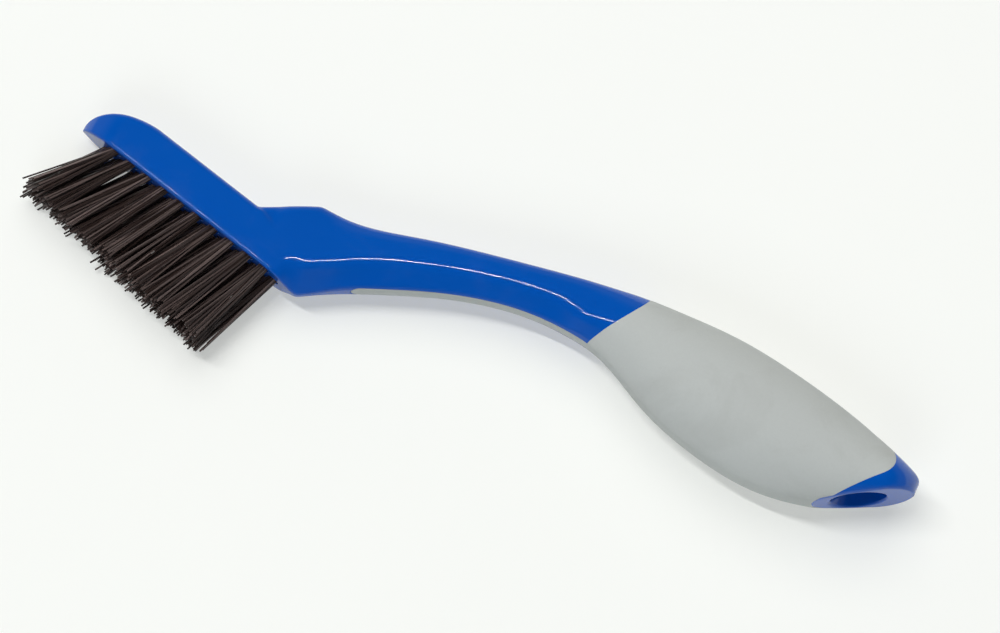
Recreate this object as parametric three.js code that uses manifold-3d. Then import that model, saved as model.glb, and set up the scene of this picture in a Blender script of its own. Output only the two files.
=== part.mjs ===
// Detailing brush: an arched two-material handle that carries a tilted head of stiff filament tufts.
// Millimetres. The brush is drawn along +X from the nose of the head to the end of the handle, with its
// back towards +Y, its tufts towards -Y and its width across Z. It lies on one side, on z = 0.
import * as THREE from "three";
import { mergeVertices } from "three/addons/utils/BufferGeometryUtils.js";
import Module from "manifold-3d";

const wasm = await Module();
wasm.setup();

const degrees = Math.PI / 180;

// Head
const headLength = 68.3; // brush face, nose to heel
const headWidth = 14;
const headThickness = 11.7;
const headTilt = 15.05 * degrees; // the brush face falls towards the heel
const faceDrop = 0.35; // brush face below the long axis at the nose
const noseLip = 0.4; // height of the nose's front edge
const noseRise = 19.9; // length over which the back rises from the lip
const noseRiseFullness = 1.7; // 2 is a quarter of an ellipse, 1 a straight slope
const noseTaper = 8.3; // length over which the sides widen from the nose
const noseTaperFullness = 1.35;
const faceEdgeRound = 1.2;
const headSideRound = 1.5; // between the side and the slopes above and below it
const headBackRound = 4.5;
const headNarrowing = 18; // length before the heel over which the head takes on the neck's width
const headToNeckFrom = 13; // the section changes from the head's to the neck's from here before the heel
const headToNeckTo = 7; // to here behind it

// Shoulder behind the head
const shoulderSlope = 25.7 * degrees;
const shoulderHeight = 4.9; // shoulder's corner above the long axis
const shoulderCornerRound = 0.4;
const shoulderFootRound = 0.3; // where the shoulder rises from the head
const heelRound = 1.2;

// Neck
const neckLength = 76; // heel to the front of the grip
const heelDepth = 24.9;
const heelWidth = 13.2;
const neckDepth = 12.46; // where the neck is slimmest
const neckWidth = 12.4;
const neckArch = 7.11; // highest point of the handle's centre line
const neckBellyRound = 1;
const neckRidgeRound = 1.6; // ridge along each side
const neckUpperRound = 2; // where the sides turn towards the back
const neckBackRound = 2.5;

// Grip
const gripLength = 80.7; // front to rear along the back
const gripDepth = 31.2;
const gripWidth = 24.8;
const gripFrontDepth = 16.8;
const gripFrontWidth = 14.5;
const gripFrontLean = 10.2; // the front edge lies this much further back at the back than at the belly
const gripFrontCurve = [0.4, 0.34, 0.98, 0.78]; // its two bends, as shares of the lean and of the depth
const gripRearAngle = 45.1 * degrees; // rear edge, from the long axis
const gripRearDrop = 8; // the slanted rear edge comes level with the corner this far below the back
const gripRearRound = 8.4; // height of the rounded corner at the back of the rear edge
const gripRearCorner = 0.55; // place of that corner, as a share of its height
const neckToGripFrom = 8; // the section changes from the neck's to the grip's from here before the grip
const neckToGripShare = 0.3; // over this share of the grip
const gripToEndFrom = 0.72; // the section changes from the grip's to the end's from this share of the grip
const gripToEndTo = 0.98; // to this one
const gripRound = 9; // of every edge of the section
const gripWall = 2.2;

// Tongue of grip material along the belly of the neck
const tongueLength = 60.3; // round end to the front of the grip
const tongueWidth = 4.4;
const tongueDepth = 1.5;
const tongueSink = 0.05; // below the plastic round it

// End with the hanging hole
const endLength = 9; // behind the grip
const endDepth = 16.6; // of the whole section, before the slanted face is cut
const endWidth = 20.2;
const endTipDepth = 8.3;
const endTipWidth = 19.1;
const endRound = 4.6; // length over which the back of the end rounds off
const endFullness = 5.6;
const endSideRound = 8.7; // length over which the sides of the end round off
const endSideFullness = 1.5;
const endHeight = -3.57; // tip, relative to the long axis
const endBellyRound = 5;
const endRidgeRound = 6;
const endBackRound = 7; // also where the sides turn towards the back
const bevelAngle = 29 * degrees; // slanted face, from the long axis
const bevelRim = 1.1; // plastic edge of the slanted face, between it and the grip
const holeFromEnd = 11.8; // hole's middle at the slanted face, before the end of the handle
const holeLean = 3; // the hole's middle at the back lies this much nearer to the head
const holeLength = 13.5; // at the slanted face, along the long axis
const holeWidth = 12.4;
const holeBackLength = 9;
const holeBackWidth = 7.4;
const holeWall = 0.6; // plastic round the hole, where it passes through the grip

// Tufts
const tuftPitch = 5.55;
const rowPitch = 3.9;
const sliceWidth = 3.5; // strip of the head that holds one row
const sliceDepth = 2;
const firstTuft = 9; // nose to the first tuft of the middle row
const lastTuft = 3.6; // last tuft of the middle row to the heel, at least
const strandsPerTuft = 12;
const strandThickness = 0.46;
const tuftRadius = 1.15;
const tuftSpread = 1.35; // radius at the tips
const bristleHeightNose = 20.7; // above the brush face
const bristleHeightHeel = 25.6;
const bristleLeanNose = 23 * degrees; // towards the nose
const bristleLeanHeel = 8.5 * degrees;
const trimUnevenness = 0.7;

// Anchors that hold the folded tufts
const anchorWidth = 2.6;
const anchorHeight = 1.8;
const anchorThickness = 0.4;

const clearance = 0.3; // between neighbouring pieces
const beyond = 40; // cutting bodies reach this far past what they cut

// Fineness of the facets
const cornerSteps = 3;
const noseSteps = 8;
const endSteps = 8;
const headStep = 6;
const shoulderStep = 2;
const neckStep = 7;
const gripStep = 5;

const bluePlastic = { color: 0x0550af, roughness: 0.28, metalness: 0 };
const greyRubber = { color: 0xb0b6b4, roughness: 0.75, metalness: 0 };
const darkNylon = { color: 0x2d2624, roughness: 0.5, metalness: 0 };
const anchorSteel = { color: 0xb4b2a8, roughness: 0.35, metalness: 1 };

// Places along the handle, each from the one before
const heelAlong = headLength * Math.cos(headTilt);
const gripFrontAlong = heelAlong + neckLength;
const gripRearAlong = gripFrontAlong + gripLength;
const endAlong = gripRearAlong + endLength;
const holeAlong = endAlong - holeFromEnd;
const neckAt = (share) => heelAlong + share * neckLength;
const gripAt = (share) => gripFrontAlong + share * gripLength;

// Natural cubic spline through [place, value] knots, straight beyond its ends.
function smoothCurve(knots) {
  const x = knots.map((knot) => knot[0]);
  const y = knots.map((knot) => knot[1]);
  const last = x.length - 1;
  const bend = new Array(last + 1).fill(0);
  const ratio = new Array(last + 1).fill(0);
  for (let i = 1; i < last; i++) {
    const before = x[i] - x[i - 1];
    const after = x[i + 1] - x[i];
    const pivot = 2 * (before + after) - before * ratio[i - 1];
    const turn = 6 * ((y[i + 1] - y[i]) / after - (y[i] - y[i - 1]) / before);
    ratio[i] = after / pivot;
    bend[i] = (turn - before * bend[i - 1]) / pivot;
  }
  for (let i = last - 1; i > 0; i--) bend[i] -= ratio[i] * bend[i + 1];
  return (at) => {
    const place = THREE.MathUtils.clamp(at, x[0], x[last]);
    let i = 0;
    while (i < last - 1 && place > x[i + 1]) i++;
    const step = x[i + 1] - x[i];
    const toNext = x[i + 1] - place;
    const fromThis = place - x[i];
    const value =
      (bend[i] * toNext ** 3 + bend[i + 1] * fromThis ** 3) / (6 * step) +
      (y[i] / step - (bend[i] * step) / 6) * toNext +
      (y[i + 1] / step - (bend[i + 1] * step) / 6) * fromThis;
    const slope =
      (y[i + 1] - y[i]) / step +
      (bend[i + 1] * (3 * fromThis ** 2 - step ** 2)) / (6 * step) -
      (bend[i] * (3 * toNext ** 2 - step ** 2)) / (6 * step);
    return value + slope * (at - place);
  };
}

// Larger or smaller of two heights, with the corner between them rounded.
const roundedMax = (a, b, round) => (a + b + Math.hypot(a - b, round)) / 2;
const roundedMin = (a, b, round) => (a + b - Math.hypot(a - b, round)) / 2;

// Handle's centre line, depth and width from the heel to the end, as shares of the way between named sizes
const between = THREE.MathUtils.lerp;
const heelCentre = shoulderHeight - heelDepth / 2;
const handleCentre = smoothCurve([
  [neckAt(0), heelCentre],
  [neckAt(0.21), between(heelCentre, neckArch, 0.295)],
  [neckAt(0.41), between(heelCentre, neckArch, 0.606)],
  [neckAt(0.615), between(heelCentre, neckArch, 0.849)],
  [neckAt(0.82), between(heelCentre, neckArch, 0.985)],
  [neckAt(0.96), neckArch],
  [gripAt(0.075), between(neckArch, endHeight, 0.082)],
  [gripAt(0.227), between(neckArch, endHeight, 0.371)],
  [gripAt(0.432), between(neckArch, endHeight, 0.674)],
  [gripAt(0.645), between(neckArch, endHeight, 0.927)],
  [gripAt(0.867), between(neckArch, endHeight, 1.017)],
  [endAlong, endHeight],
]);
const handleDepth = smoothCurve([
  [neckAt(0), heelDepth],
  [neckAt(0.125), between(heelDepth, neckDepth, 0.463)],
  [neckAt(0.31), between(heelDepth, neckDepth, 0.748)],
  [neckAt(0.513), between(heelDepth, neckDepth, 0.944)],
  [neckAt(0.745), neckDepth],
  [neckAt(0.925), between(neckDepth, gripFrontDepth, 0.471)],
  [gripAt(0.028), gripFrontDepth],
  [gripAt(0.227), between(gripFrontDepth, gripDepth, 0.592)],
  [gripAt(0.371), between(gripFrontDepth, gripDepth, 0.885)],
  [gripAt(0.537), gripDepth],
  [gripAt(0.682), between(gripDepth, endDepth, 0.108)],
  [gripAt(0.867), between(gripDepth, endDepth, 0.564)],
  [gripAt(0.981), endDepth],
  [endAlong, endTipDepth],
]);
const handleWidth = smoothCurve([
  [neckAt(0), heelWidth],
  [neckAt(0.21), between(heelWidth, neckWidth, 0.63)],
  [neckAt(0.745), neckWidth],
  [gripAt(0), gripFrontWidth],
  [gripAt(0.145), between(gripFrontWidth, gripWidth, 0.418)],
  [gripAt(0.33), between(gripFrontWidth, gripWidth, 0.865)],
  [gripAt(0.51), gripWidth],
  [gripAt(0.66), between(gripWidth, endWidth, 0.116)],
  [gripAt(0.82), between(gripWidth, endWidth, 0.563)],
  [gripAt(0.981), endWidth],
  [endAlong, endTipWidth],
]);

const faceHeight = (along) => -faceDrop - along * Math.tan(headTilt);
const bevelHeight = (along) => endHeight - (endAlong - along) * Math.tan(bevelAngle);

// Quarter of a rounded outline that rises from 0 to 1 over a length, fuller than a slope
function quarterRise(along, length, fullness) {
  const rest = Math.max(0, 1 - along / length);
  return (1 - rest ** fullness) ** (1 / fullness);
}

function headBackHeight(along) {
  const full = headThickness / Math.cos(headTilt);
  const rise = quarterRise(along, noseRise, noseRiseFullness);
  return faceHeight(along) + between(noseLip, full, rise);
}

function backHeight(along) {
  const shoulder = shoulderHeight + (along - heelAlong) * Math.tan(shoulderSlope);
  const handle = handleCentre(along) + handleDepth(along) / 2;
  const behindHead = roundedMin(shoulder, handle, shoulderCornerRound);
  return roundedMax(headBackHeight(along), behindHead, shoulderFootRound);
}

function bellyHeight(along) {
  return roundedMax(faceHeight(along), handleCentre(along) - handleDepth(along) / 2, heelRound);
}

function halfWidth(along) {
  const share = THREE.MathUtils.smoothstep(along, heelAlong - headNarrowing, heelAlong);
  const head = headWidth * quarterRise(along, noseTaper, noseTaperFullness);
  return between(head, handleWidth(along), share) / 2;
}

// Shape of the section: widths as shares of the half width, heights as shares of the depth.
const headSection = {
  bellyFlat: 1,
  lowerSide: 0.3,
  upperSide: 0.62,
  upperWidth: 1,
  backFlat: 0.97,
  bellyRound: faceEdgeRound,
  sideRound: headSideRound,
  upperRound: headSideRound,
  backRound: headBackRound,
};
const neckSection = {
  bellyFlat: 0.59,
  lowerSide: 0.445,
  upperSide: 0.8,
  upperWidth: 0.93,
  backFlat: 0.62,
  bellyRound: neckBellyRound,
  sideRound: neckRidgeRound,
  upperRound: neckUpperRound,
  backRound: neckBackRound,
};
const gripSection = {
  bellyFlat: 0.44,
  lowerSide: 0.28,
  upperSide: 0.72,
  upperWidth: 1,
  backFlat: 0.44,
  bellyRound: gripRound,
  sideRound: gripRound,
  upperRound: gripRound,
  backRound: gripRound,
};
const endSection = {
  bellyFlat: 0.58,
  lowerSide: 0.257,
  upperSide: 0.668,
  upperWidth: 1,
  backFlat: 0.475,
  bellyRound: endBellyRound,
  sideRound: endRidgeRound,
  upperRound: endBackRound,
  backRound: endBackRound,
};

function sectionShape(along) {
  const neckFrom = heelAlong - headToNeckFrom;
  const pastShoulder = THREE.MathUtils.smoothstep(along, neckFrom, heelAlong + headToNeckTo);
  const gripFrom = gripFrontAlong - neckToGripFrom;
  const intoGrip = THREE.MathUtils.smoothstep(along, gripFrom, gripAt(neckToGripShare));
  const intoEnd = THREE.MathUtils.smoothstep(along, gripAt(gripToEndFrom), gripAt(gripToEndTo));
  const shape = {};
  for (const key of Object.keys(headSection)) {
    const front = between(headSection[key], neckSection[key], pastShoulder);
    const grip = between(front, gripSection[key], intoGrip);
    shape[key] = between(grip, endSection[key], intoEnd);
  }
  return shape;
}

// Corner of an outline, rounded over at most half of each of its two edges.
function roundedCorner(before, corner, after, round) {
  const reach = (other) => {
    const edge = other.clone().sub(corner);
    return corner.clone().addScaledVector(edge, Math.min(round / edge.length(), 0.5));
  };
  return new THREE.QuadraticBezierCurve(reach(before), corner, reach(after)).getPoints(cornerSteps);
}

// Closed section of the brush across its length, sunk below the outer surface by an inset.
function sectionRing(along, inset) {
  const shape = sectionShape(along);
  const fromEnd = endAlong - along;
  const share = quarterRise(fromEnd, endRound, endFullness);
  const back = between(endHeight, backHeight(along), share) - inset;
  const belly = between(endHeight, bellyHeight(along), share) + inset;
  const width = halfWidth(along) * quarterRise(fromEnd, endSideRound, endSideFullness) - inset;
  const depth = back - belly;
  const corners = [
    new THREE.Vector2(belly, 0),
    new THREE.Vector2(belly, width * shape.bellyFlat),
    new THREE.Vector2(belly + depth * shape.lowerSide, width),
    new THREE.Vector2(belly + depth * shape.upperSide, width * shape.upperWidth),
    new THREE.Vector2(back, width * shape.backFlat),
    new THREE.Vector2(back, 0),
  ];
  const rounds = [0, shape.bellyRound, shape.sideRound, shape.upperRound, shape.backRound];
  const half = [corners[0]];
  for (let i = 1; i < 5; i++) {
    half.push(...roundedCorner(corners[i - 1], corners[i], corners[i + 1], rounds[i]));
  }
  half.push(corners[5]);
  const otherHalf = half.slice(1, -1).reverse();
  const ring = half.map((point) => new THREE.Vector3(along, point.x, point.y));
  ring.push(...otherHalf.map((point) => new THREE.Vector3(along, point.x, -point.y)));
  return ring;
}

// Closed skin over rings of equal count, which follow one another along +X.
function loft(rings) {
  const count = rings[0].length;
  const points = rings.flat();
  const faces = [];
  for (let row = 0; row < rings.length - 1; row++) {
    for (let i = 0; i < count; i++) {
      const here = row * count + i;
      const next = row * count + ((i + 1) % count);
      faces.push(here, here + count, next, next, here + count, next + count);
    }
  }
  const closeEnd = (row, outward) => {
    const middle = points.length;
    const centre = new THREE.Vector3();
    rings[row].forEach((point) => centre.addScaledVector(point, 1 / count));
    points.push(centre);
    for (let i = 0; i < count; i++) {
      const here = row * count + i;
      const next = row * count + ((i + 1) % count);
      faces.push(middle, outward ? next : here, outward ? here : next);
    }
  };
  closeEnd(0, false);
  closeEnd(rings.length - 1, true);
  const geometry = new THREE.BufferGeometry().setFromPoints(points);
  geometry.setIndex(faces);
  return geometry;
}

// Solid that booleans can join and cut, from any closed geometry.
function solidOf(geometry) {
  const bare = geometry.clone();
  bare.deleteAttribute("normal");
  bare.deleteAttribute("uv");
  const merged = mergeVertices(bare, 1e-4);
  const vertProperties = new Float32Array(merged.getAttribute("position").array);
  const triVerts = new Uint32Array(merged.index.array);
  return new wasm.Manifold(new wasm.Mesh({ numProp: 3, vertProperties, triVerts }));
}

function geometryOf(solid) {
  const mesh = solid.getMesh();
  const geometry = new THREE.BufferGeometry();
  geometry.setAttribute("position", new THREE.BufferAttribute(mesh.vertProperties, 3));
  geometry.setIndex(new THREE.BufferAttribute(mesh.triVerts, 1));
  geometry.computeVertexNormals();
  return geometry;
}

// Places between two ends, evenly spaced, no further apart than a step.
function evenly(from, to, step) {
  const count = Math.ceil((to - from) / step);
  return Array.from({ length: count }, (_, i) => from + ((to - from) * i) / count);
}

// Shares of a rounded end's length, closer together towards the tip at 0, which they stop short of.
function roundedEnd(steps, firstTurn) {
  return evenly(firstTurn, 1, 1 / steps).map((turn) => 1 - Math.cos((turn * Math.PI) / 2));
}

// Outer skin, with sections closer together where the outline turns faster
function outerSolid() {
  const shoulderFrom = heelAlong - headNarrowing;
  const shoulderTo = heelAlong + headToNeckTo;
  const endFrom = endAlong - endSideRound;
  const places = [
    ...roundedEnd(noseSteps, 0.06).map((share) => share * noseRise),
    ...evenly(noseRise, shoulderFrom, headStep),
    ...evenly(shoulderFrom, shoulderTo, shoulderStep),
    ...evenly(shoulderTo, gripFrontAlong, neckStep),
    ...evenly(gripFrontAlong, endFrom, gripStep),
    endFrom,
    ...roundedEnd(endSteps, 0.12).map((share) => endAlong - share * endSideRound).reverse(),
  ];
  return solidOf(loft(places.map((along) => sectionRing(along, 0))));
}

function innerSolid(inset) {
  const places = evenly(gripFrontAlong - 2 * gripWall, endAlong, gripStep);
  return solidOf(loft(places.map((along) => sectionRing(along, inset))));
}

// Body that reaches across the whole width, from an outline in the brush's side view.
function acrossSolid(shape) {
  const across = { depth: 2 * beyond, bevelEnabled: false, curveSegments: 8 };
  const geometry = new THREE.ExtrudeGeometry(shape, across);
  geometry.translate(0, 0, -beyond);
  return solidOf(geometry);
}

// Stretch of the handle that the grip covers, seen from the side.
function gripStretch(grow) {
  const front = gripFrontAlong - grow;
  const rear = gripRearAlong + grow;
  const frontHeight = bellyHeight(gripFrontAlong);
  const frontDepth = backHeight(gripFrontAlong) - frontHeight;
  const rearTop = backHeight(gripRearAlong);
  const rearLevel = rearTop - gripRearDrop;
  const slant = (height) => rear + (height - rearLevel) / Math.tan(gripRearAngle);
  const cornerHeight = rearTop - gripRearRound * gripRearCorner;
  const slantTop = rearTop - gripRearRound;
  const rim = (bevelRim - grow) / Math.cos(bevelAngle);
  const aboveRim = slant(slantTop) - endAlong - (slantTop - endHeight - rim) / Math.tan(bevelAngle);
  const spread = 1 / Math.tan(bevelAngle) - 1 / Math.tan(gripRearAngle);
  const rimTop = slantTop + aboveRim / spread;
  const underside = -gripDepth;
  const [firstLean, firstDepth, nextLean, nextDepth] = gripFrontCurve;
  const shape = new THREE.Shape();
  shape.moveTo(front, underside);
  shape.lineTo(front, frontHeight);
  shape.bezierCurveTo(
    front + gripFrontLean * firstLean,
    frontHeight + frontDepth * firstDepth,
    front + gripFrontLean * nextLean,
    frontHeight + frontDepth * nextDepth,
    front + gripFrontLean,
    frontHeight + frontDepth,
  );
  shape.lineTo(front + gripFrontLean, beyond);
  shape.lineTo(rear, beyond);
  shape.lineTo(rear, rearTop);
  shape.quadraticCurveTo(slant(cornerHeight), cornerHeight, slant(slantTop), slantTop);
  shape.lineTo(slant(rimTop), rimTop);
  shape.lineTo(endAlong + (underside - endHeight - rim) / Math.tan(bevelAngle), underside);
  return acrossSolid(shape);
}

// Everything below the slanted face of the end.
function belowBevel() {
  const from = endAlong - beyond;
  const to = endAlong + beyond;
  const shape = new THREE.Shape();
  shape.moveTo(from, bevelHeight(from));
  shape.lineTo(from, -2 * beyond);
  shape.lineTo(to, -2 * beyond);
  shape.lineTo(to, bevelHeight(to));
  return acrossSolid(shape);
}

// Oval hanging hole, which narrows from the slanted face to the back, or the outside of its wall when grown.
function hangingHole(grow) {
  const faceLevel = bevelHeight(holeAlong);
  const backLevel = backHeight(holeAlong);
  const sides = 24;
  const ovalAt = (height) => {
    const share = (height - faceLevel) / (backLevel - faceLevel);
    const along = holeAlong - holeLean * share;
    const length = between(holeLength, holeBackLength, share) / 2 + grow;
    const width = between(holeWidth, holeBackWidth, share) / 2 + grow;
    const oval = new THREE.EllipseCurve(along, 0, length, width).getPoints(sides);
    return oval.slice(0, sides).map((point) => new THREE.Vector3(point.x, height, point.y));
  };
  return solidOf(loft([ovalAt(faceLevel - holeLength), ovalAt(backLevel + holeBackLength / 2)]));
}

// Tongue of grip material, or the groove that it lies in when grown.
function tongueSolid(grow, outside) {
  const start = gripFrontAlong - tongueLength - grow;
  const half = tongueWidth / 2 + grow;
  const places = [
    ...roundedEnd(5, 0.06).map((share) => start + share * half),
    ...evenly(start + half, gripFrontAlong, gripStep),
    gripFrontAlong + 2 * gripWall,
  ];
  const rings = places.map((along) => {
    const width = half * quarterRise(along - start, half, 2);
    const low = bellyHeight(along) + tongueSink - outside;
    const high = bellyHeight(along) + tongueDepth + grow;
    return [
      new THREE.Vector3(along, low, -width),
      new THREE.Vector3(along, low, width),
      new THREE.Vector3(along, high, width),
      new THREE.Vector3(along, high, -width),
    ];
  });
  return solidOf(loft(rings));
}

// Frame of the brush face: X from nose to heel, Y across the brush, Z out of the face.
const faceFrame = new THREE.Matrix4()
  .makeBasis(
    new THREE.Vector3(Math.cos(headTilt), -Math.sin(headTilt), 0),
    new THREE.Vector3(0, 0, 1),
    new THREE.Vector3(-Math.sin(headTilt), -Math.cos(headTilt), 0),
  )
  .setPosition(0, -faceDrop, 0);

const onFace = (geometry) => solidOf(geometry.clone().applyMatrix4(faceFrame));

// Rows of tufts: two outer rows, and a middle row that starts and ends half a pitch further out.
function tuftRows() {
  const run = headLength - firstTuft - lastTuft;
  const middleCount = Math.floor(run / tuftPitch) + 1;
  const places = (count, first) => Array.from({ length: count }, (_, i) => first + i * tuftPitch);
  const middle = places(middleCount, firstTuft);
  const outer = places(middleCount - 1, firstTuft + tuftPitch / 2);
  return [
    { name: "bristle_row_upper", across: rowPitch, tufts: outer },
    { name: "bristle_row_middle", across: 0, tufts: middle },
    { name: "bristle_row_lower", across: -rowPitch, tufts: outer },
  ];
}

// Strip with round ends under one row of tufts, flush with the brush face, or its pocket when grown.
function rowSlice(row, grow) {
  const radius = sliceWidth / 2 + grow;
  const first = row.tufts[0];
  const last = row.tufts.at(-1);
  const outline = new THREE.Shape();
  outline.absarc(first, row.across, radius, Math.PI / 2, 1.5 * Math.PI);
  outline.absarc(last, row.across, radius, -Math.PI / 2, Math.PI / 2);
  const upwards = { depth: sliceDepth + 2 * grow, bevelEnabled: false, curveSegments: 5 };
  return new THREE.ExtrudeGeometry(outline, upwards).translate(0, 0, -sliceDepth - grow);
}

// Share of the way from the first tuft to the last, at a place on the face.
const towardsHeel = (along) => (along - firstTuft) / (headLength - firstTuft - lastTuft);

// One filament: a slim three-sided bar from inside the slice to its trimmed tip.
function strand(root, tip) {
  const span = tip.clone().sub(root);
  const radius = strandThickness / 2;
  const section = new THREE.Shape(new THREE.EllipseCurve(0, 0, radius, radius).getPoints(3));
  const bar = new THREE.ExtrudeGeometry(section, { depth: span.length(), bevelEnabled: false });
  const turn = new THREE.Quaternion().setFromUnitVectors(new THREE.Vector3(0, 0, 1), span.normalize());
  return bar.applyQuaternion(turn).translate(...root.toArray());
}

// Filaments of one tuft, spread over a disc like seeds in a flower head.
function tuftStrands(along, across) {
  const goldenAngle = Math.PI * (3 - Math.sqrt(5));
  const lean = between(bristleLeanNose, bristleLeanHeel, towardsHeel(along));
  const height = between(bristleHeightNose, bristleHeightHeel, towardsHeel(along));
  return Array.from({ length: strandsPerTuft }, (_, i) => {
    const out = Math.sqrt((i + 0.5) / strandsPerTuft);
    const x = out * Math.cos(i * goldenAngle);
    const y = out * Math.sin(i * goldenAngle);
    const rise = height - trimUnevenness * ((i * goldenAngle) % 1);
    const forward = rise * Math.tan(lean);
    const root = new THREE.Vector3(along + tuftRadius * x, across + tuftRadius * y, -sliceDepth / 2);
    const tip = new THREE.Vector3(along + tuftSpread * x - forward, across + tuftSpread * y, rise);
    return strand(root, tip);
  });
}

function bristleRow(row) {
  let solid = onFace(rowSlice(row, 0));
  for (const along of row.tufts) {
    for (const bar of tuftStrands(along, row.across)) solid = solid.add(onFace(bar));
  }
  return solid;
}

// Flat anchor under one tuft, or its slot in the head when grown.
function anchorPlate(along, across, grow) {
  const size = [anchorThickness, anchorWidth, anchorHeight].map((side) => side + 2 * grow);
  const depth = sliceDepth + clearance + anchorHeight / 2;
  return new THREE.BoxGeometry(...size).translate(along, across, -depth);
}

const rows = tuftRows();
const anchors = rows.flatMap((row) => row.tufts.map((along) => ({ along, across: row.across })));
const outer = outerSolid();
const bevelCut = belowBevel();

function handleBody() {
  let body = outer.subtract(gripStretch(clearance)).add(innerSolid(gripWall + clearance));
  body = body.add(outer.intersect(hangingHole(holeWall))).subtract(hangingHole(0)).subtract(bevelCut);
  body = body.subtract(tongueSolid(clearance, tongueDepth));
  for (const row of rows) body = body.subtract(onFace(rowSlice(row, clearance)));
  for (const { along, across } of anchors) {
    body = body.subtract(onFace(anchorPlate(along, across, clearance)));
  }
  return body;
}

function softGrip() {
  const sleeve = outer.intersect(gripStretch(0)).subtract(innerSolid(gripWall));
  return sleeve.add(tongueSolid(0, 0)).subtract(hangingHole(holeWall + clearance));
}

function part(name, solid, finish) {
  const mesh = new THREE.Mesh(geometryOf(solid), new THREE.MeshStandardMaterial(finish));
  mesh.name = name;
  return mesh;
}

// Tilt of the brush as it lies on its side, on the widest place of the grip and the side of the head
function lyingTilt() {
  const headPlaces = evenly(0, heelAlong, 0.5);
  const gripPlaces = evenly(gripFrontAlong, gripRearAlong, 0.5);
  let slope = 0;
  for (let pass = 0; pass < 4; pass++) {
    const clear = (along) => slope * along - halfWidth(along);
    const head = headPlaces.reduce((low, along) => (clear(along) < clear(low) ? along : low));
    slope = Math.max(...gripPlaces.map((along) => (halfWidth(along) - halfWidth(head)) / (along - head)));
  }
  return Math.atan(slope);
}

const lying = new THREE.Group();
lying.rotation.y = -lyingTilt();
lying.add(part("handle_body", handleBody(), bluePlastic));
lying.add(part("soft_grip", softGrip(), greyRubber));
for (const row of rows) lying.add(part(row.name, bristleRow(row), darkNylon));
anchors.forEach(({ along, across }, i) => {
  const name = `tuft_anchor_${String(i + 1).padStart(2, "0")}`;
  lying.add(part(name, onFace(anchorPlate(along, across, 0)), anchorSteel));
});

// The origin is on the surface that the brush lies on, under the middle of its outline.
const brush = new THREE.Group();
brush.add(lying);
brush.updateMatrixWorld(true);
const outline = new THREE.Box3().setFromObject(brush, true);
const middle = outline.getCenter(new THREE.Vector3());
lying.position.set(-middle.x, -middle.y, -outline.min.z);

export default brush;
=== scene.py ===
"""Detailing brush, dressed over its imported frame: glossy handle, soft grip, filament tufts and studio stage."""

import math

import bpy
import numpy as np
from mathutils import Matrix, Vector


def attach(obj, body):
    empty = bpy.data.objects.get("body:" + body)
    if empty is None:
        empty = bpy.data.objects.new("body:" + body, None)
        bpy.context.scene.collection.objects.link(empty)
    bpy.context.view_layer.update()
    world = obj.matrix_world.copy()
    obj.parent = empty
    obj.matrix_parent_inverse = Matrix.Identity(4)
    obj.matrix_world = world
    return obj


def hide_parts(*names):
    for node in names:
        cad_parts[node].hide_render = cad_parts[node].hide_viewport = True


bl_info = {
    "name": "Detailing Brush",
    "version": (1, 0, 0),
    "blender": (4, 5, 0),
    "location": "3D View > Sidebar > Brush",
    "description": "Builds the handle, grip and filament tufts of a detailing brush over its packed frame",
    "category": "Object",
}

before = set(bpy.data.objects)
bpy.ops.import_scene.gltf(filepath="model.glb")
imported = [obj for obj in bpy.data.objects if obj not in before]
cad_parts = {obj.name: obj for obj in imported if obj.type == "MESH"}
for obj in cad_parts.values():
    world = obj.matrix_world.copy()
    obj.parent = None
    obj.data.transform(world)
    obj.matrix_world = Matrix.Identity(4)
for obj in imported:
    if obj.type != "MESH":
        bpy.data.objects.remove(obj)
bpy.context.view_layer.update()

MM = 0.001

# Pose of the brush on the floor: it lies on one side, tilted until head and grip both touch.
LYING_TILT = math.radians(-1.7925683)
LYING_PLACE = np.array([-112.67379, 12.61617, 6.72018])

# Fixed values of the form, in millimetres unless they are shares. A fullness of 2 makes a rounding an ellipse.

# Head
FACE_DROP = 0.35
NOSE_LIP = 0.4
NOSE_RISE = 19.9
NOSE_RISE_FULLNESS = 1.7
NOSE_TAPER = 11.0
NOSE_TAPER_FULLNESS = 1.6
HEAD_NARROWING = 18.0

# Shoulder and heel
SHOULDER_SLOPE = math.radians(25.7)
SHOULDER_HEIGHT = 4.9
SHOULDER_ROUND = 0.4
SHOULDER_FOOT_ROUND = 0.3
HEEL_ROUND = 0.6
HEEL_WIDTH = 13.2

# Shallow arc in which the head's back edge runs out over the sides of the neck
ARC_DEPTH = 0.65
ARC_AHEAD_OF_HEEL = 15.0
ARC_REACH = 8.0
ARC_FADE_IN = (-1.0, 1.5)
ARC_FADE_OUT = 3.0
ARC_DROP = 0.4
ARC_BEND = 0.045
ARC_BEND_START = 1.0
ARC_BAND = (-0.55, 0.4)

# Grip. Its lip is (distance inside the edge, rise over the skin) pairs.
GRIP_FRONT_DEPTH = 16.8
GRIP_FRONT_WIDTH = 14.5
GRIP_FRONT_LEAN = 10.2
GRIP_FRONT_CURVE = (0.4, 0.34, 0.98, 0.78)
GRIP_REAR_ANGLE = math.radians(45.1)
GRIP_REAR_DROP = 8.5
GRIP_REAR_ROUND = 8.4
GRIP_REAR_CORNER = 0.55
GRIP_REAR_RUN = 40.0
GRIP_RISE = 0.03
GRIP_SKIN = 0.85
GRIP_LIP = ((0.0, -0.4), (0.0, -0.16), (0.03, -0.05), (0.1, 0.0), (0.2, GRIP_RISE - 0.01), (0.36, GRIP_RISE))
BELLY_CROWN = 1.3
COVER_SINK = 0.55
COVER_BLEND = (0.35, 1.2)

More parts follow.
